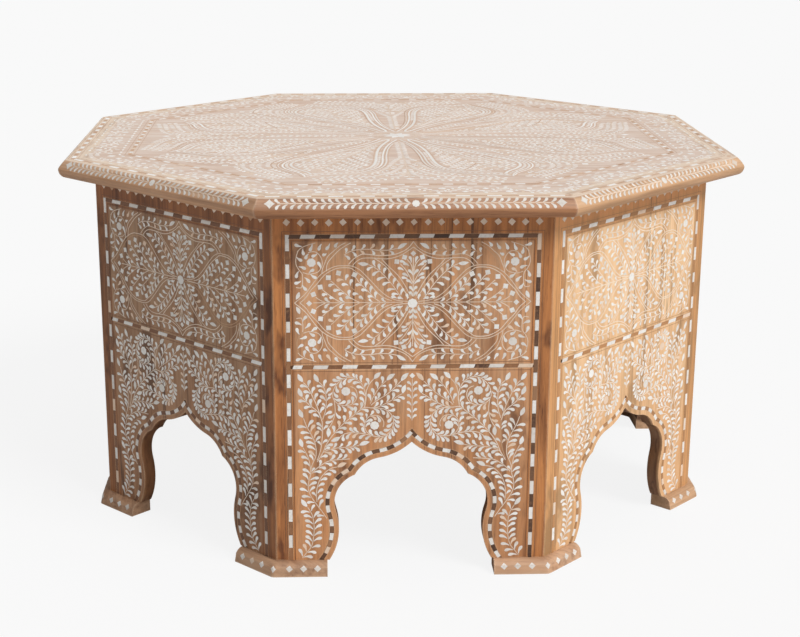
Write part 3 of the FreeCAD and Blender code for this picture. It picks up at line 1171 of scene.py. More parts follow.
def draw_upper_quarter(field):
    """Upper left quarter of the flower that fills the upper field of a side."""
    field.limit = lambda place, margin: place.x < -margin - 0.2 and place.y > flower_level + margin + 0.2
    outlines = [
        [
            (-141.5, 350.5), (-130, 360.4), (-123.6, 368.4), (-117, 377.5), (-109.3, 386), (-99.9, 392.3),
            (-91.2, 395.7), (-83.5, 396), (-74, 395.7), (-64.8, 391.7), (-58.2, 385.5), (-51.6, 378.6),
            (-45, 371.2), (-38.5, 364.4), (-32.4, 359.3), (-25.3, 355.3), (-18, 352.9), (-6, 351.6),
        ],
        [
            (-135, 350.5), (-128, 357), (-121.4, 366.7), (-114.8, 373.5), (-107.6, 382.6), (-101.6, 387.7),
            (-92.3, 392.3), (-83, 393.6), (-74, 393), (-70.9, 390.6), (-61, 383.2), (-53.8, 375.9),
            (-47.8, 368.5), (-41.8, 361.8), (-33.5, 355.6), (-25.3, 352.6),
        ],
        [
            (-108.7, 386.6), (-108.2, 391.7), (-105.4, 398.5), (-102, 407), (-96, 412.7), (-88.4, 419.6),
            (-80.7, 424),
        ],
        [(-103.2, 390), (-102.7, 396.2), (-101, 400.8), (-96, 407), (-88.4, 415), (-81.3, 420), (-74.2, 424)],
        [
            (0, 425), (-6, 417.3), (-14.3, 412.2), (-25.3, 408.8), (-41.8, 408.2), (-58.2, 409.9),
            (-64.8, 408.2), (-72, 403), (-77, 397.4),
        ],
        [
            (0, 418.4), (-8.8, 412.2), (-17, 407.6), (-30.8, 404.2), (-49.5, 405.3), (-61, 404.8),
            (-68, 400.8), (-72, 396.2),
        ],
        [
            (-46.2, 404.8), (-38.5, 399.7), (-30.8, 392.8), (-25.3, 384.9), (-18.2, 376.4), (-11.6, 366.7),
            (-5, 355.8),
        ],
        [(-37.4, 403.6), (-30.8, 396.2), (-22.5, 388.3), (-15.4, 380.3), (-8.8, 369.5), (-3.3, 358.5)],
    ]
    for points in outlines:
        field.stem(Line(points), width=0.95)
    curl = [
        Line([(-139.5, 370), (-132.9, 369.5), (-131.5, 380.9), (-132, 386.6)]),
        Line([(-132, 386.6), (-136, 391.7), (-139, 398), (-139, 405), (-137, 412.7), (-134, 417)]),
        Line([
            (-131, 388), (-125, 386), (-119, 386.5), (-113, 388.5), (-109, 394), (-108, 401),
            (-110.4, 408), (-115, 412.7), (-120, 413.3), (-124.6, 412),
        ]),
        Line([(-138, 412.7), (-134, 417), (-127, 420.7), (-116, 424)]),
    ]
    for line in curl:
        field.stem(line, width=0.9)
    field.bud(Vector((-135.5, 364)), Vector((-139.5, 355)), width=2.3)
    pairs = [
        ((-139, 421.5), (-132, 420)), ((-130, 411), (-130.5, 417.5)), ((-122, 415.5), (-119.5, 423)),
        ((-112, 416.5), (-108.5, 423)), ((-102.5, 416.5), (-99, 423)), ((-92.5, 420), (-89, 424)),
        ((-106, 409), (-102.8, 411)), ((-133, 403), (-138, 407)), ((-129, 393), (-136, 395)),
        ((-127.5, 406), (-124, 411)), ((-119, 408), (-114, 411)), ((-112.5, 399.5), (-110, 392.5)),
        ((-119, 391), (-124, 387)), ((-139, 383), (-136, 389.5)), ((-124, 377), (-129.5, 382)),
        ((-116.5, 381.5), (-122, 386)), ((-139.5, 375), (-133, 378)), ((-128, 367.5), (-132, 373.5)),
    ]
    for k, (head, tail) in enumerate(pairs):
        field.leaf(Vector(tail), Vector(head), bend=1.2 if k % 2 else -1.2, size=0.95, check=False)
    field.disc((-121, 400), 5.2)
    roots = [
        Line([(-50, 350.5), (-58, 354), (-65, 362), (-75, 371), (-82, 379), (-86.3, 384)]),
        Line([(-64, 351), (-72, 355), (-80, 361), (-88, 368), (-95, 375), (-98.3, 377.5)]),
        Line([(-84, 350.5), (-90, 353), (-98, 358.5), (-105, 364), (-108.3, 367)]),
        Line([(-105, 351), (-112, 354.5), (-116, 357.8)]),
        Line([(-40, 352), (-47, 357), (-53, 364), (-60, 371), (-66, 378), (-68, 381.6)]),
    ]
    for line in roots:
        field.stem(line)
    axis = straight((-12, flower_level), (-119, flower_level))
    squares = ((-70, 385.2), (-89, 387), (-101, 381.5), (-110.5, 370), (-119, 361))
    for k, centre in enumerate(squares):
        field.square(centre, 4.0, turned=0.35 + 0.2 * k)
    heads = [
        (-99.5, 372), (-89.5, 378.5), (-83.5, 373), (-78.5, 384), (-73.5, 378), (-67, 372.5), (-61.5, 379.5),
        (-56, 375), (-50, 369.5), (-44.5, 362.5), (-60, 366.5), (-70.5, 361.5), (-76.5, 365), (-87.5, 361.5),
        (-93.5, 366), (-107, 361), (-98, 357), (-79, 357), (-63, 357.5), (-52.5, 358.5),
    ]
    field.leaves_on(roots + [axis], heads, size=0.97)
    field.leafy(axis, start=12, end=2, pitch=8.6, sides=(-1,), size=0.9, clear=1.7)
    sprig = Line([
        (-82.1, 409.1), (-76.6, 412.6), (-71, 414.4), (-63.8, 415.5), (-53.3, 415.8), (-41.7, 414.6),
        (-30, 414.6), (-19, 416.7),
    ])
    field.stem(sprig)
    field.bud(Vector((-18.6, 416.3)), Vector((-7.6, 423)), width=2.4)
    field.leaves_on(
        [sprig],
        [
            (-79.4, 416.1), (-70.2, 419.6), (-58.3, 420.5), (-46.9, 421), (-35.6, 420.2), (-25, 419.8),
            (-76.3, 404.8), (-68.8, 408.8), (-59.4, 410.8), (-46.9, 410.6), (-36.1, 410), (-24, 410.4),
        ],
        size=0.86,
    )
    sprig = Line([
        (-14, 356.8), (-20, 366), (-24.5, 372.5), (-31, 380.4), (-38.6, 388.3), (-46, 394.1), (-53, 397.4),
    ])
    field.stem(sprig)
    field.bud(Vector((-53.6, 398)), Vector((-66, 399.3)), width=2.4)
    field.leaves_on(
        [sprig],
        [
            (-12.4, 366.6), (-17.3, 373.1), (-21.8, 379.4), (-27.3, 385.7), (-34, 391.8), (-40.8, 396.7),
            (-47.4, 400.9), (-24, 360.8), (-30, 366), (-35.3, 372.7), (-42, 379), (-47.6, 384.8),
            (-53.8, 391.5),
        ],
        size=0.92,
    )
    branches = [
        Line([(0, 374.1), (-2.5, 378.8), (-8.5, 389.9), (-15.5, 398)]),
        Line([(-0.3, 382.5), (-1.5, 394.1), (-4, 399.3), (-7.5, 403.5)]),
    ]
    for line in branches:
        field.stem(line)
    field.square((-19.6, 400.6), 3.9, turned=0.7)
    field.square((-10.6, 406.1), 3.8, turned=0.5)
    pairs = [
        ((-3.4, 369.2), (-0.6, 364.4)), ((-7, 377.8), (-1.5, 373.2)), ((-11.7, 385.8), (-6, 382)),
        ((-17, 392.7), (-11.5, 390)), ((-5, 389.8), (-0.9, 384.1)), ((-11, 398.2), (-5, 395.2)),
        ((-4, 406), (-2.6, 399.3)), ((-7.6, 359.6), (-7, 354)), ((-17.2, 356.2), (-12, 354.4)),
        ((-3.2, 362.6), (-0.9, 358.0)), ((-12.2, 381.2), (-6.8, 379.2)), ((-24.6, 357.9), (-19.6, 355.6)),
        ((-14.6, 401.2), (-9.4, 398.6)),
    ]
    for head, tail in pairs:
        field.leaf(Vector(tail), Vector(head), bend=1.5, size=0.86, check=False)


def draw_upper_field(field):
    """Flower of the upper field of a side."""
    draw_upper_quarter(field)
    field.repeat(mirror_matrix(), True)
    field.repeat(mirror_matrix(flower_level), True)
    for end in (-1, 1):
        field.stem(straight((end * 12, flower_level), (end * 119, flower_level)), take=False)
        field.square((end * 124, 350), 3.6, turned=0.0)
        field.square((0, flower_level + end * 60), 3.4, turned=0.0)
        field.stem(straight((0, flower_level + end * 7), (0, flower_level + end * 55)), take=False)
    field.disc((-0.4, 349.2), 5.8)


def draw_lower_half(field):
    """Left half of the plants round the arch of a side."""
    edge = left_arch_line(9.0)
    field.limit = lambda place, margin: place.x < -margin - 0.9
    field.take_line(edge, 2.8)
    field.take_line(straight((-143.6, 17), (-143.6, 265)), 1.6)
    field.take_line(straight((-146, 265), (2, 265)), 1.2)
    stems = {
        "main": [
            (-104.5, 73), (-110, 82), (-115, 89), (-119, 95), (-124, 103), (-127, 112), (-126.5, 122),
            (-124, 131), (-123.3, 140), (-121, 147), (-117.5, 155), (-117, 165), (-118.5, 173), (-121, 180),
            (-125, 188), (-129, 196), (-132, 205),
        ],
        "twig": [
            (-123.5, 132), (-124, 138), (-125, 146), (-126.5, 153), (-129, 159), (-133, 167),
        ],
        "b": [(-116, 150), (-112.5, 160), (-110.5, 170), (-109.5, 180), (-109, 190), (-109.5, 200)],
        "b1": [(-109.5, 200), (-114, 212), (-120, 218), (-127, 224), (-133, 232)],
        "b2": [(-110.5, 205), (-113, 213), (-116, 222), (-119.5, 230), (-124, 240), (-128, 247), (-132, 251)],
        "b3": [(-109, 203), (-106, 212), (-104.5, 222), (-104.5, 232), (-106, 241), (-109, 247), (-113, 251)],
        "c": [
            (-116, 148), (-112, 155), (-109, 160), (-106, 168), (-101, 177), (-95, 185), (-88, 193),
            (-81, 200), (-74, 206), (-68, 211), (-62, 216), (-57, 218.5), (-50, 217.5),
        ],
        "c1": [(-50, 217.5), (-42, 218.5), (-34, 222), (-25, 227), (-18, 232), (-12, 235.5)],
        "c2": [(-50, 221), (-47, 224), (-40, 229), (-32, 234), (-26, 239), (-20, 245), (-14, 251.5)],
        "c3": [(-51, 223), (-48, 230), (-43, 239), (-38, 246), (-31.5, 252.5)],
        "c4": [(-58, 218), (-56, 228), (-56, 236), (-54, 244), (-50, 251), (-46.5, 254.5)],
        "upper_curl": [
            (-58, 222), (-56.5, 232), (-58, 241), (-61, 248), (-65, 252.5), (-70, 255.5), (-76, 257),
            (-82, 255.5), (-88, 251.5), (-93, 246), (-96, 239), (-96.5, 232), (-93.5, 226), (-88, 222),
            (-81, 220.5), (-74, 222), (-69, 226.5), (-67, 232), (-67, 238), (-70, 243), (-75, 245),
        ],
        "side": [(-95, 230), (-94, 222), (-93.5, 214), (-94.5, 207), (-97, 200), (-99.5, 195), (-102, 192)],
        "lower_curl": [
            (-50, 217.5), (-40, 217), (-33, 215.5), (-27, 211), (-23.5, 205), (-22.5, 198), (-24, 191),
            (-28, 185), (-33, 181.5), (-40, 180), (-47, 181), (-53, 182.5), (-60, 184.5), (-68, 185.5),
            (-76, 185.5), (-83, 184), (-88, 180),
        ],
        "ring": [
            (-50, 182), (-56, 188), (-57.5, 196), (-56, 202), (-52, 206.5), (-46, 208), (-40, 207),
            (-36, 203), (-34, 198), (-35, 193),
        ],
        "e": [(-109, 160), (-104, 163), (-97, 165), (-88, 166.5), (-78, 167), (-70, 168), (-64.5, 169.2)],
        "f": [
            (-122, 133), (-118, 138), (-112, 143), (-106, 147), (-100, 149.5), (-92, 150.5), (-84, 151),
            (-76, 151.5),
        ],
        "g": [
            (-116.5, 95), (-117, 103), (-116.5, 112), (-114.5, 120), (-111.5, 127), (-107, 133),
            (-102, 137.5), (-97, 140), (-91.5, 141),
        ],
        "foot": [
            (-135.5, 20), (-132, 25), (-128, 30), (-124, 36), (-122, 44), (-121, 52), (-120.5, 60),
            (-121, 68), (-122, 75), (-124.5, 82), (-128.5, 88.5),
        ],
        "middle": [(0, 201), (0, 253)],
    }
    lines = {name: Line(points) for name, points in stems.items()}
    for name, line in lines.items():
        if name != "middle":
            field.stem(line)
        else:
            field.take_line(line, 0.5)
    buds = [
        ((-132.5, 252), (-138.5, 262)), ((-113.5, 251.5), (-118.5, 262)), ((-133.5, 233), (-138, 244)),
        ((-133, 206), (-137.5, 217)), ((-133.3, 168), (-136.5, 179)), ((-129, 89), (-136, 99)),
        ((-46, 255), (-38, 263)), ((-31, 253), (-21, 261)), ((-13.5, 252), (-4.5, 262)),
        ((-11.5, 236), (-8, 247)), ((-102, 192), (-102.5, 180)), ((-88, 180), (-99, 175)),
        ((-64, 169.5), (-51.5, 173.5)), ((-91, 141), (-80, 146.3)),
    ]
    for base, tip in buds:
        field.bud(Vector(base), Vector(tip))
    field.disc((-80.5, 239))
    field.disc((-45.5, 195))
    order = [
        "foot", "main", "twig", "b", "b1", "b2", "b3", "c", "c1", "c2", "c3", "c4",
        "upper_curl", "lower_curl", "side", "ring", "e", "f", "g",
    ]
    field.leafy(lines["middle"], start=4.0, end=2.0, pitch=8.6, sides=(1,), size=0.95)
    for name in ("foot", "main"):
        field.leafy(lines[name], start=4.5, end=3.0, pitch=8.0, reach_out=8.4)
    for name in order[2:]:
        field.leafy(lines[name], start=9.0 if name in ("b1", "b2", "b3", "c") else 4.5, end=3.0, pitch=9.0)
    for name in order[2:]:
        field.leafy(lines[name], start=9.0, end=4.0, pitch=9.0, sides=(1, -1), size=0.95, clear=3.2)


def draw_lower_field(field):
    """Plants round the arch of a side."""
    draw_lower_half(field)
    field.repeat(mirror_matrix(), True)
    field.stem(straight((0, 201), (0, 254)), take=False)
    field.square((0, 258.5), 3.5, turned=0.0)


def draw_frieze(field):
    """Row of diamonds under the rim."""
    uneven = field.random.uniform
    for k in range(-9, 10):
        centre = (frieze_pitch * k + uneven(-0.7, 0.7), frieze_level + uneven(-0.3, 0.3))
        field.plate(centre, 4.4 + uneven(-0.4, 0.3), 4, turned=uneven(-0.1, 0.1), material=stem_line)


def on_side(side, lift=0.0):
    """Places flat points on the face of a side, raised by a lift."""
    turned = turn(side)

    def place(x, y, height):
        """Point on the wood."""
        return turned @ Vector((x * mm, -drum_apothem - height * mm, (y + lift) * mm))

    return place


def build_side_inlay():
    """Banding, leaves and diamonds of the eight sides."""
    chips = finishes("bone", "dark_chip", "pale_line", "dark_chip", "walnut_chip")
    fields = {}
    drawings = (
        ("flower", draw_upper_field), ("plants", draw_lower_field),
        ("bands", draw_bands), ("frieze", draw_frieze),
    )
    for number, (name, draw) in enumerate(drawings):
        fields[name] = Field(11 + number)
        draw(fields[name])
    for side in range(side_count):
        for name in ("flower", "plants", "frieze", "bands"):
            lift = frieze_lifts[side] if name == "frieze" else 0.0
            seed = side * 10 + len(name)
            # The chips take their side's painted light and shade
            piece = add_inlay(
                f"side_{name}_{side + 1}", fields[name], on_side(side, lift), seed, chips, painted_side_light[side],
            )
        if side == 0:
            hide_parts("side_banding")


def draw_top_half_sector(field):
    """Right half of one petal of the table top and of the border at its corner.

    The petal points up the plane, towards a corner of the table, and the middle of a side lies on a line
    half a corner to the right.
    """
    out = Vector((math.sin(half_corner), math.cos(half_corner)))
    along = Vector((-math.cos(half_corner), math.sin(half_corner)))

    def rim(distance, apothem):
        """Point at a distance from the middle of the side towards the corner."""
        return out * apothem + along * distance

    def dashes(apothem, start, pitch, length, width):
        """Row of white chips with brown wood between them."""
        reach = apothem * corner_slope
        line = straight(rim(0, apothem), rim(reach, apothem))
        cuts = [0.0]
        place = start
        while place + length / 2 < reach:
            cuts += [place - length / 2, place + length / 2]
            place += pitch
        cuts.append(reach)
        for k, (first, last) in enumerate(zip(cuts, cuts[1:])):
            if last - first > 1:
                places = [line.place(first)[0], line.place(last)[0]]
                field.strip(places, [width / 2] * 2, material=bone_chip if k % 2 else edge_line, proud=0.1)
        field.take_line(line, width / 2 + 0.6)

    dashes(outer_border, start=18.4, pitch=36.7, length=17, width=5)
    dashes(inner_border, start=14.5, pitch=29, length=12, width=4.6)
    for apothem in (outer_border - 5.7, outer_border + 5.7, inner_border - 6, inner_border + 6):
        reach = apothem * corner_slope
        field.strip([rim(0, apothem), rim(reach, apothem)], [0.35, 0.35], material=edge_line, proud=0.06)
    outer = Line([
        (0, 336), (7, 324), (18, 313), (33, 303), (48, 290), (58, 272), (62, 250), (60, 228), (52, 200),
        (41, 170), (31, 140), (23, 112), (17.5, 88), (14, 66), (12.6, 46), (12, 34),
    ])
    inner = Line([
        (0, 317), (6, 309), (17, 300), (31, 290), (43, 277), (50.5, 262), (52.5, 247), (50, 227), (42, 199),
        (31.5, 169), (21.5, 139), (14, 112), (9, 88), (6, 66), (4, 48), (0, 36),
    ])
    second = Line([
        (5, 331), (15, 320.5), (29, 311.5), (44, 301), (57, 285), (64.5, 268), (66.5, 249), (64, 225),
        (56, 197), (45, 168), (35, 138), (27, 112), (21.5, 88), (18, 66),
    ])
    field.bundle(inner, 3.2, (-3.2, 3.0))
    field.bundle(outer, 2.0, (-2.6, 2.6, 4.4))
    field.bundle(second, 1.6, (2.4,))
    field.take_line(inner, 3.2)
    field.take_line(outer, 2.6)
    field.take_line(second, 2.0)
    squares = Line([
        (0, 327), (9, 315), (24, 305), (39, 292), (50, 277), (57, 258), (56.5, 238), (50, 212), (41, 183),
        (31, 154), (23, 127), (16.5, 104), (12, 82), (9.5, 62),
    ])
    for k in range(int(squares.length * 0.75 / 8.0)):
        point, way = squares.place(4 + 8.0 * k)
        field.plate(point, 2.7, 4, turned=math.atan2(way.y, way.x) + math.pi / 4)
    vein = straight((0, vein_start), (0, vein_end))
    field.take_line(vein, 0.5)
    ray = straight(out * ray_start, out * ray_end)
    field.take_line(ray, 0.6)
    twigs = []
    for k in range(13):
        start = 76 + 18 * k
        row = [Vector((0, start))]
        while len(row) < 14:
            rise = 0.95 - 0.03 * len(row)
            step = row[-1] + Vector((math.cos(rise), math.sin(rise))) * 5
            if inner.nearest(step)[1] < 5.0:
                break
            row.append(step)
        if len(row) > 2:
            twigs.append(Line(row))
    courses = [
        [out * 178, (70, 196), (74, 222), (77, 250), (73, 274), (62, 293), (47, 306), (32, 316), (18, 328)],
        [out * 222, (91, 228), (94, 252), (92, 278), (83, 299), (68, 314), (50, 326), (33, 337), (16, 350)],
        [
            out * 262, (108, 264), (112, 283), (104, 303), (92, 318), (76, 331), (58, 342), (40, 353),
            (22, 364),
        ],
    ]
    branches = [Line(points) for points in courses]
    for line in twigs + branches:
        field.stem(line, width=0.9)
    bends = [rim(6 + 26 * k, border_wave + (11 if k % 2 else -11)) for k in range(6)]
    wave = Line(bends + [(0, border_wave / math.cos(half_corner) + 8)])
    field.stem(wave, width=1.0)
    for k in range(6):
        centre = rim(8 + 26 * k, border_wave + (-9 if k % 2 else 9))
        if k in (1, 4):
            field.disc(centre, 4.6)
        else:
            field.plate(centre, 4.2, 4, turned=0.4 + 0.3 * k)
    field.limit = lambda place, margin: (
        place.x > margin + 0.6 and place.y * out.x - place.x * out.y > margin + 0.6
    )
    field.leafy(vein, start=4, end=3, pitch=8.8, sides=(-1,), size=0.9)
    field.leafy(ray, start=8, end=4, pitch=8.8, sides=(1,), size=0.95)
    for line in twigs:
        field.leafy(line, start=5, end=1.5, pitch=8.6, sides=(1, -1), size=0.95)
    for line in branches:
        field.leafy(line, start=5, end=2, pitch=9.0)
    field.leafy(wave, start=4, end=4, pitch=9.0, sides=(1, -1), size=0.95)
    for k in range(9):
        for apothem, end in ((inner_border + 13.5, -1), (outer_border - 13.5, 1)):
            centre = rim(9 + 17.5 * k, apothem)
            way = along * 4 * end
            field.leaf(centre - way, centre + way, bend=1.4, size=0.85)


def draw_top_sector(field):
    """One petal of the table top with the border at its corner."""
    draw_top_half_sector(field)
    field.repeat(mirror_matrix(), True)
    field.stem(straight((0, vein_start), (0, vein_end)), width=1.0, take=False)
    field.plate((0, 404 / math.cos(half_corner) - 22), 6.0, 4, turned=0.0)
    out = Vector((math.sin(half_corner), math.cos(half_corner)))
    field.stem(straight(out * ray_start, out * ray_end), width=1.0, take=False)
    field.plate(out * 326, 5.5, 4, turned=math.pi / 2 - half_corner)
    field.bud(Vector((0, 2.0)), Vector((0, 21)), width=4.4)
    ring = [(29 * math.sin(a), 29 * math.cos(a)) for a in [half_corner * (k / 4 - 1) for k in range(9)]]
    field.stem(Line(ring), width=1.2, take=False)
    ring = [(x * 0.88, y * 0.88) for x, y in ring]
    field.stem(Line(ring), width=0.8, take=False)


def build_top_inlay():
    """Bone and brown inlay of the table top, a sector at a time."""
    chips = finishes("top_bone", "dark_chip", "pale_line", "brown_chip")
    sector = Field(21)
    sector.sunk = 0.6
    draw_top_sector(sector)
    for side in range(side_count):
        turned = Matrix.Rotation((side * 2 + 1) * half_corner + math.pi, 4, "Z")

        def place(x, y, height):
            """Point on the table top."""
            return turned @ Vector((x * mm, y * mm, top_height + height * mm))

        add_inlay(f"top_inlay_{side + 1}", sector, place, 300 + side, chips)


def draw_slope(field):
    """Leaves, star and disc of the top's sloping edge."""

    def star(angle):
        """Reach of the four-pointed star round about."""
        return 1 / (abs(math.cos(angle)) ** 0.84 + abs(math.sin(angle)) ** 0.84) ** 1.19

    start, end = 6, 159
    line = straight((start, 0), (end, 0))
    field.take_line(line, 0.4)
    field.leafy(line, start=3.5, end=1.0, pitch=8.7, sides=(1, -1), size=0.9, clear=1.5)
    field.plate((167.8, 0.3), 6.4, 24, turned=0.0, shape=star)
    field.repeat(mirror_matrix(), True)
    for side in (-1, 1):
        field.stem(straight((side * start, 0), (side * end, 0)), width=0.95, take=False)
    field.plate((0, 0), 4.4, 32, turned=0.0, shape=lambda angle: 1 + 0.07 * math.cos(8 * angle))


def foot_place(along, height):
    """Distance from the middle of the table, and height, of a point along the face of a foot."""
    toe = Vector((foot_apothem, 0))
    shoulder = Vector((foot_shoulder_apothem, foot_shoulder_height))
    leg_line = Vector((drum_apothem, foot_height))
    face = (shoulder - toe).length
    if along * mm <= face:
        way = (shoulder - toe).normalized()
        spot = toe + way * along * mm
    else:
        chord = leg_line - shoulder
        share = (along * mm - face) / (chord.length * 1.04)
        outward = right_of(chord).normalized()
        spot = shoulder + chord * share + outward * 4 * share * (1 - share) * foot_shoulder_sag
        way = (chord + outward * 4 * (1 - 2 * share) * foot_shoulder_sag).normalized()
    return spot + right_of(way) * height * mm


def build_edge_inlay():
    """Leaves on the slope round the top, and diamonds on the feet."""
    chips = finishes("old_bone", "dark_chip", "pale_line", "brown_chip")
    chord = arris - lip_top
    outward = right_of(chord).normalized()
    slope = Field(31)
    draw_slope(slope)
    feet = Field(32)
    diamond_height = 10.4
    for x in (-151.7, -134, -116.5, 116.5, 134, 151.7):
        feet.tile((x, diamond_height), 4.4, turned=feet.random.uniform(-0.12, 0.12))
    corner = Field(33)
    corner.tile((0, diamond_height), 4.6, turned=0.0)
    for side in range(side_count):
        turned = turn(side)

        def on_slope(x, y, height):
            """Point on the bowed slope of the edge."""
            share = 0.5 + y * mm / chord.length
            rise = 4 * share * (1 - share) * slope_sag + height * mm
            spot = lip_top.lerp(arris, share) + outward * rise
            return turned @ Vector((x * mm, -spot.x, spot.y))

        def on_foot(x, y, height):
            """Point on the face of the feet of a side, y above the floor along the face."""
            distance, level = foot_place(y, height)
            return turned @ Vector((x * mm, -distance, level))

        def on_corner(x, y, height):
            """Point on the rounded corner of a foot."""
            distance, level = foot_place(y, height)
            angle = min(max(x * mm / foot_radius, -half_corner), half_corner)
            beyond = x * mm - angle * foot_radius
            centre = (foot_apothem - foot_radius) / math.cos(half_corner)
            reach = distance - foot_apothem + foot_radius
            spot = Vector((
                reach * math.sin(angle) + beyond * math.cos(angle),
                -centre - reach * math.cos(angle) + beyond * math.sin(angle),
                level,
            ))
            return turned @ Matrix.Rotation(half_corner, 4, "Z") @ spot

        inlays = (
            ("edge_leaves", slope, on_slope),
            ("foot_diamonds", feet, on_foot),
            ("foot_corner", corner, on_corner),
        )
        for name, field, place in inlays:
            add_inlay(f"{name}_{side + 1}", field, place, 400 + side * 7 + len(name), chips)


# Stage


def empty_tree(owner):
    """Node tree of a material or a world, without any node."""
    owner.use_nodes = True
    owner.node_tree.nodes.clear()
    return owner.node_tree


def by_ray(tree, factor, first, second, end):
    """Ends a shader tree with one shader or another, by a factor of the kind of ray."""
    mixed = add_node(tree, "MixShader", {0: factor, 1: first, 2: second})
    add_node(tree, end, {0: mixed.outputs[0]})


def build_world(settings, paper):
    """Even light from all round, behind which the camera sees paper."""
    world = bpy.data.worlds.new("studio")
    bpy.context.scene.world = world
    tree = empty_tree(world)
    soft = add_node(tree, "Background", {"Color": (1, 1, 1, 1), "Strength": settings.fill_light})
    paper_light = add_node(tree, "Background", {"Color": paper, "Strength": 1.0})
    rays = add_node(tree, "LightPath")
    seen = math_node(tree, "MAXIMUM", rays.outputs["Is Camera Ray"], rays.outputs["Is Transmission Ray"])
    by_ray(tree, seen, soft.outputs[0], paper_light.outputs[0], "OutputWorld")


def build_floor(settings, paper):
    """Paper floor, whose own paleness the camera sees, with the table's soft shadow on it."""
    bm = bmesh.new()
    under = Matrix.Translation((0, 0, -0.1 * mm))
    bmesh.ops.create_circle(bm, cap_ends=True, segments=64, radius=settings.floor_radius, matrix=under)
    material = bpy.data.materials.new("paper_floor")
    floor = add_object("floor", new_mesh("floor", bm, [material]))
    tree = empty_tree(material)
    matt = add_node(tree, "BsdfDiffuse", {"Color": (0.7, 0.7, 0.7, 1)})
    shade = add_node(tree, "BsdfDiffuse", {"Color": (0.07, 0.07, 0.07, 1)})
    glow = add_node(tree, "Emission", {"Color": paper, "Strength": settings.floor_glow})
    both = add_node(tree, "AddShader", {0: shade.outputs[0], 1: glow.outputs[0]})
    rays = add_node(tree, "LightPath")
    by_ray(tree, rays.outputs["Is Camera Ray"], matt.outputs[0], both.outputs[0], "OutputMaterial")


def build_stage():
    """Floor, light and camera."""
    settings = bpy.context.scene.stool_stage
    bpy.context.scene.view_settings.view_transform = "Standard"
    paper = tuple(settings.paper_colour)
    build_world(settings, paper)
    build_floor(settings, paper)
    add_lamp("window", settings.key_light, settings.key_softness, settings.key_azimuth, settings.key_height)
    add_lamp("ceiling", settings.top_light, settings.top_softness, settings.key_azimuth, settings.top_slope)
    build_camera(settings)


def add_lamp(name, level, softness, azimuth, height):
    """Distant lamp at an angle to the right of the front and over the floor."""
    data = bpy.data.lights.new(name, "SUN")
    data.energy = level * math.pi
    data.angle = softness
    lamp = add_object(name, data)
    toward = Vector((
        math.cos(height) * math.sin(azimuth), -math.cos(height) * math.cos(azimuth), math.sin(height),
    ))
    lamp.rotation_euler = toward.to_track_quat("Z", "Y").to_euler()


def build_camera(settings):
    """Camera at the place and with the view angle of the photograph."""
    azimuth = settings.camera_azimuth
    height = settings.camera_height
    roll = settings.camera_roll
    back = Vector((
        math.sin(azimuth) * math.cos(height), -math.cos(azimuth) * math.cos(height), math.sin(height),
    ))
    right = Vector((math.cos(azimuth), math.sin(azimuth), 0))
    up = back.cross(right)
    aim = right * settings.aim_across + Vector((0, 0, settings.aim_up))
    across = right * math.cos(roll) + up * math.sin(roll)
    upward = up * math.cos(roll) - right * math.sin(roll)
    place = aim + back * settings.camera_distance
    data = bpy.data.cameras.new("camera")
    data.sensor_width = 36
    data.lens = settings.focal_length
    data.shift_x = settings.shift_across
    camera = add_object("camera", data)
    columns = Matrix((across, upward, back)).transposed().to_4x4()
    columns.translation = place
    camera.matrix_world = columns
    bpy.context.scene.camera = camera
    data.clip_end = 100


def colour_setting(name, description, *numbers):
    """Colour that a user can change, with its default as a picture's numbers, 0 to 255."""
    return FloatVectorProperty(
        name=name, description=description, default=rgb(*numbers), size=4, min=0, max=1, subtype="COLOR",
    )


def number_setting(name, description, default, **kind):
    """Number that a user can change."""
    return FloatProperty(name=name, description=description, default=default, precision=5, **kind)


def length_setting(name, description, default, **limits):
    """Length that a user can change."""
    return number_setting(name, description, default, unit="LENGTH", **limits)


def angle_setting(name, description, degrees):
    """Angle that a user can change."""
    return number_setting(name, description, math.radians(degrees), subtype="ANGLE")


class StoolFinish(bpy.types.PropertyGroup):
    """Colours of the wood and the bone, how worn the edges are, and how far the bone stands out."""

    panel_light: colour_setting("Panel wood", "Pale grain of the side panels", 198, 134, 78)
    panel_dark: colour_setting("Panel streaks", "Dark grain of the side panels", 92, 52, 28)
    edge_light: colour_setting("Edge wood", "Pale grain of the top's edge", 176, 128, 90)
    edge_dark: colour_setting("Edge streaks", "Dark grain of the top's edge", 100, 62, 38)
    foot_light: colour_setting("Foot wood", "Pale grain of the feet", 184, 138, 100)
    foot_dark: colour_setting("Foot streaks", "Dark grain of the feet", 104, 68, 44)
    top_light: colour_setting("Top wood", "Pale grain of the top's boards", 212, 184, 160)
    top_dark: colour_setting("Top streaks", "Dark grain of the top's boards", 176, 140, 114)
    bone_light: colour_setting("Bone", "Whitest bone of the sides", 234, 231, 226)
    bone_dark: colour_setting("Darker bone", "Darkest bone of the sides", 214, 207, 199)
    top_bone_light: colour_setting("Top bone", "Whitest bone of the top", 248, 246, 243)
    top_bone_dark: colour_setting("Darker top bone", "Darkest bone of the top", 232, 227, 221)
    # Bone of the edge and the feet, made duller as painted shade
    shaded_bone_light: colour_setting("Worn bone", "Whitest bone of the edge and the feet", 220, 216, 210)
    shaded_bone_dark: colour_setting("Darker worn bone", "Darkest bone of the edge and the feet", 200, 193, 184)
    bone_rise: length_setting("Bone rise", "How far the bone stands out of the wood", 0.12 * mm, min=0)
    rim_rounding: length_setting("Rim rounding", "Width of the worn edges of the top", 0.8 * mm, min=0)
    panel_rounding: length_setting("Panel rounding", "Width of the worn edges of the panels", 0.4 * mm, min=0)
    foot_rounding: length_setting("Foot rounding", "Width of the worn edges of the feet", 0.9 * mm, min=0)


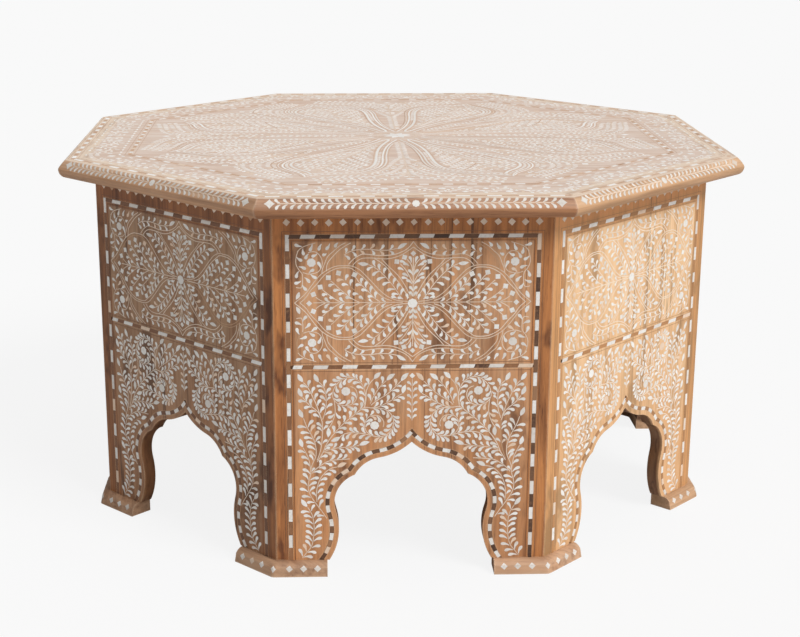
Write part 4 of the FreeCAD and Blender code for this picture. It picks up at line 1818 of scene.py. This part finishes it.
class StoolStage(bpy.types.PropertyGroup):
    """Light, floor and camera."""

    paper_colour: colour_setting("Paper colour", "Colour of the background", 249, 249, 249)
    floor_radius: length_setting("Floor radius", "Reach of the floor", 14)
    floor_glow: number_setting("Floor glow", "Share of the floor's own paleness", 0.921)
    fill_light: number_setting("Fill light", "Level of the light from all round", 0.3)
    key_light: number_setting("Window light", "Level of the light from the window", 0.84)
    top_light: number_setting("Ceiling light", "Level of the light from above", 0.2)
    key_softness: angle_setting("Window softness", "Width of the window seen from the stool", 26)
    key_azimuth: angle_setting("Window direction", "Angle of the window to the right of the front", 48)
    key_height: angle_setting("Window height", "Angle of the window over the floor", 42)
    top_softness: angle_setting("Ceiling softness", "Width of the ceiling's light seen from the stool", 40)
    top_slope: angle_setting("Ceiling height", "Angle of the ceiling's light over the floor", 80)
    camera_azimuth: angle_setting("Camera direction", "Angle of the camera to the right of the front", -2.09)
    camera_height: angle_setting("Camera height", "Angle of the camera over the floor", 16)
    camera_roll: angle_setting("Camera roll", "Turn of the camera about its view", 0.14)
    camera_distance: length_setting("Camera distance", "From the camera to the point it looks at", 2.2806)
    aim_across: length_setting("Aim across", "Sideways place of the point looked at", -0.0306)
    aim_up: length_setting("Aim height", "Height of the point looked at", 0.2142)
    focal_length: number_setting("Focal length", "Focal length on a 36 mm sensor", 69.84, unit="CAMERA")
    shift_across: number_setting("Shift", "Sideways shift of the frame", 0.03125)


class Builder:
    """What every operator of the stool does."""

    def execute(self, context):
        """Builds what the operator is for."""
        self.build()
        return {"FINISHED"}


class STOOL_OT_materials(Builder, bpy.types.Operator):
    """Make the finishes"""

    bl_idname = "stool.materials"
    bl_label = "Finishes"
    build = staticmethod(make_materials)


class STOOL_OT_boards(Builder, bpy.types.Operator):
    """Finish the boards of the top and the blocks inside"""

    bl_idname = "stool.boards"
    bl_label = "Boards and blocks"
    build = staticmethod(finish_nodes)


class STOOL_OT_edge(Builder, bpy.types.Operator):
    """Build the moulding round the top"""

    bl_idname = "stool.edge"
    bl_label = "Top edge"
    build = staticmethod(build_edge_moulding)


class STOOL_OT_panels(Builder, bpy.types.Operator):
    """Build the arched side panels"""

    bl_idname = "stool.panels"
    bl_label = "Side panels"
    build = staticmethod(build_side_panels)


class STOOL_OT_feet(Builder, bpy.types.Operator):
    """Build the feet"""

    bl_idname = "stool.feet"
    bl_label = "Feet"
    build = staticmethod(build_feet)


class STOOL_OT_screws(Builder, bpy.types.Operator):
    """Put the screws through the cleats"""

    bl_idname = "stool.screws"
    bl_label = "Cleat screws"
    build = staticmethod(build_cleat_screws)


class STOOL_OT_side_inlay(Builder, bpy.types.Operator):
    """Lay the banding, the leaves and the diamonds into the sides"""

    bl_idname = "stool.side_inlay"
    bl_label = "Inlay of the sides"
    build = staticmethod(build_side_inlay)


class STOOL_OT_top_inlay(Builder, bpy.types.Operator):
    """Lay the petals, the leaves and the border into the top"""

    bl_idname = "stool.top_inlay"
    bl_label = "Inlay of the top"
    build = staticmethod(build_top_inlay)


class STOOL_OT_edge_inlay(Builder, bpy.types.Operator):
    """Lay the leaves into the top's slope and the diamonds into the feet"""

    bl_idname = "stool.edge_inlay"
    bl_label = "Inlay of the edge and the feet"
    build = staticmethod(build_edge_inlay)


class STOOL_OT_stage(Builder, bpy.types.Operator):
    """Set up the floor, the light and the camera"""

    bl_idname = "stool.stage"
    bl_label = "Stage"
    build = staticmethod(build_stage)


class STOOL_PT_panel(bpy.types.Panel):
    """Sidebar panel of the stool"""

    bl_label = "Stool"
    bl_idname = "STOOL_PT_panel"
    bl_space_type = "VIEW_3D"
    bl_region_type = "UI"
    bl_category = "Stool"

    def draw(self, context):
        """Lists the operators and the settings."""
        layout = self.layout
        for operator in operators:
            layout.operator(operator.bl_idname)
        for settings in (context.scene.stool_finish, context.scene.stool_stage):
            for name in type(settings).__annotations__:
                layout.prop(settings, name)


operators = (
    STOOL_OT_materials,
    STOOL_OT_boards,
    STOOL_OT_edge,
    STOOL_OT_panels,
    STOOL_OT_feet,
    STOOL_OT_screws,
    STOOL_OT_side_inlay,
    STOOL_OT_top_inlay,
    STOOL_OT_edge_inlay,
    STOOL_OT_stage,
)
classes = (StoolFinish, StoolStage) + operators + (STOOL_PT_panel,)


def register():
    """Registers the classes and the settings."""
    for item in classes:
        bpy.utils.register_class(item)
    bpy.types.Scene.stool_finish = PointerProperty(type=StoolFinish)
    bpy.types.Scene.stool_stage = PointerProperty(type=StoolStage)


def unregister():
    """Takes the classes and the settings away."""
    del bpy.types.Scene.stool_stage
    del bpy.types.Scene.stool_finish
    for item in reversed(classes):
        bpy.utils.unregister_class(item)


def main():
    """Builds the whole stool."""
    register()
    bpy.ops.stool.materials()
    bpy.ops.stool.boards()
    bpy.ops.stool.edge()
    bpy.ops.stool.panels()
    bpy.ops.stool.feet()
    bpy.ops.stool.screws()
    bpy.ops.stool.side_inlay()
    bpy.ops.stool.top_inlay()
    bpy.ops.stool.edge_inlay()
    bpy.ops.stool.stage()


if __name__ == "__main__":
    main()
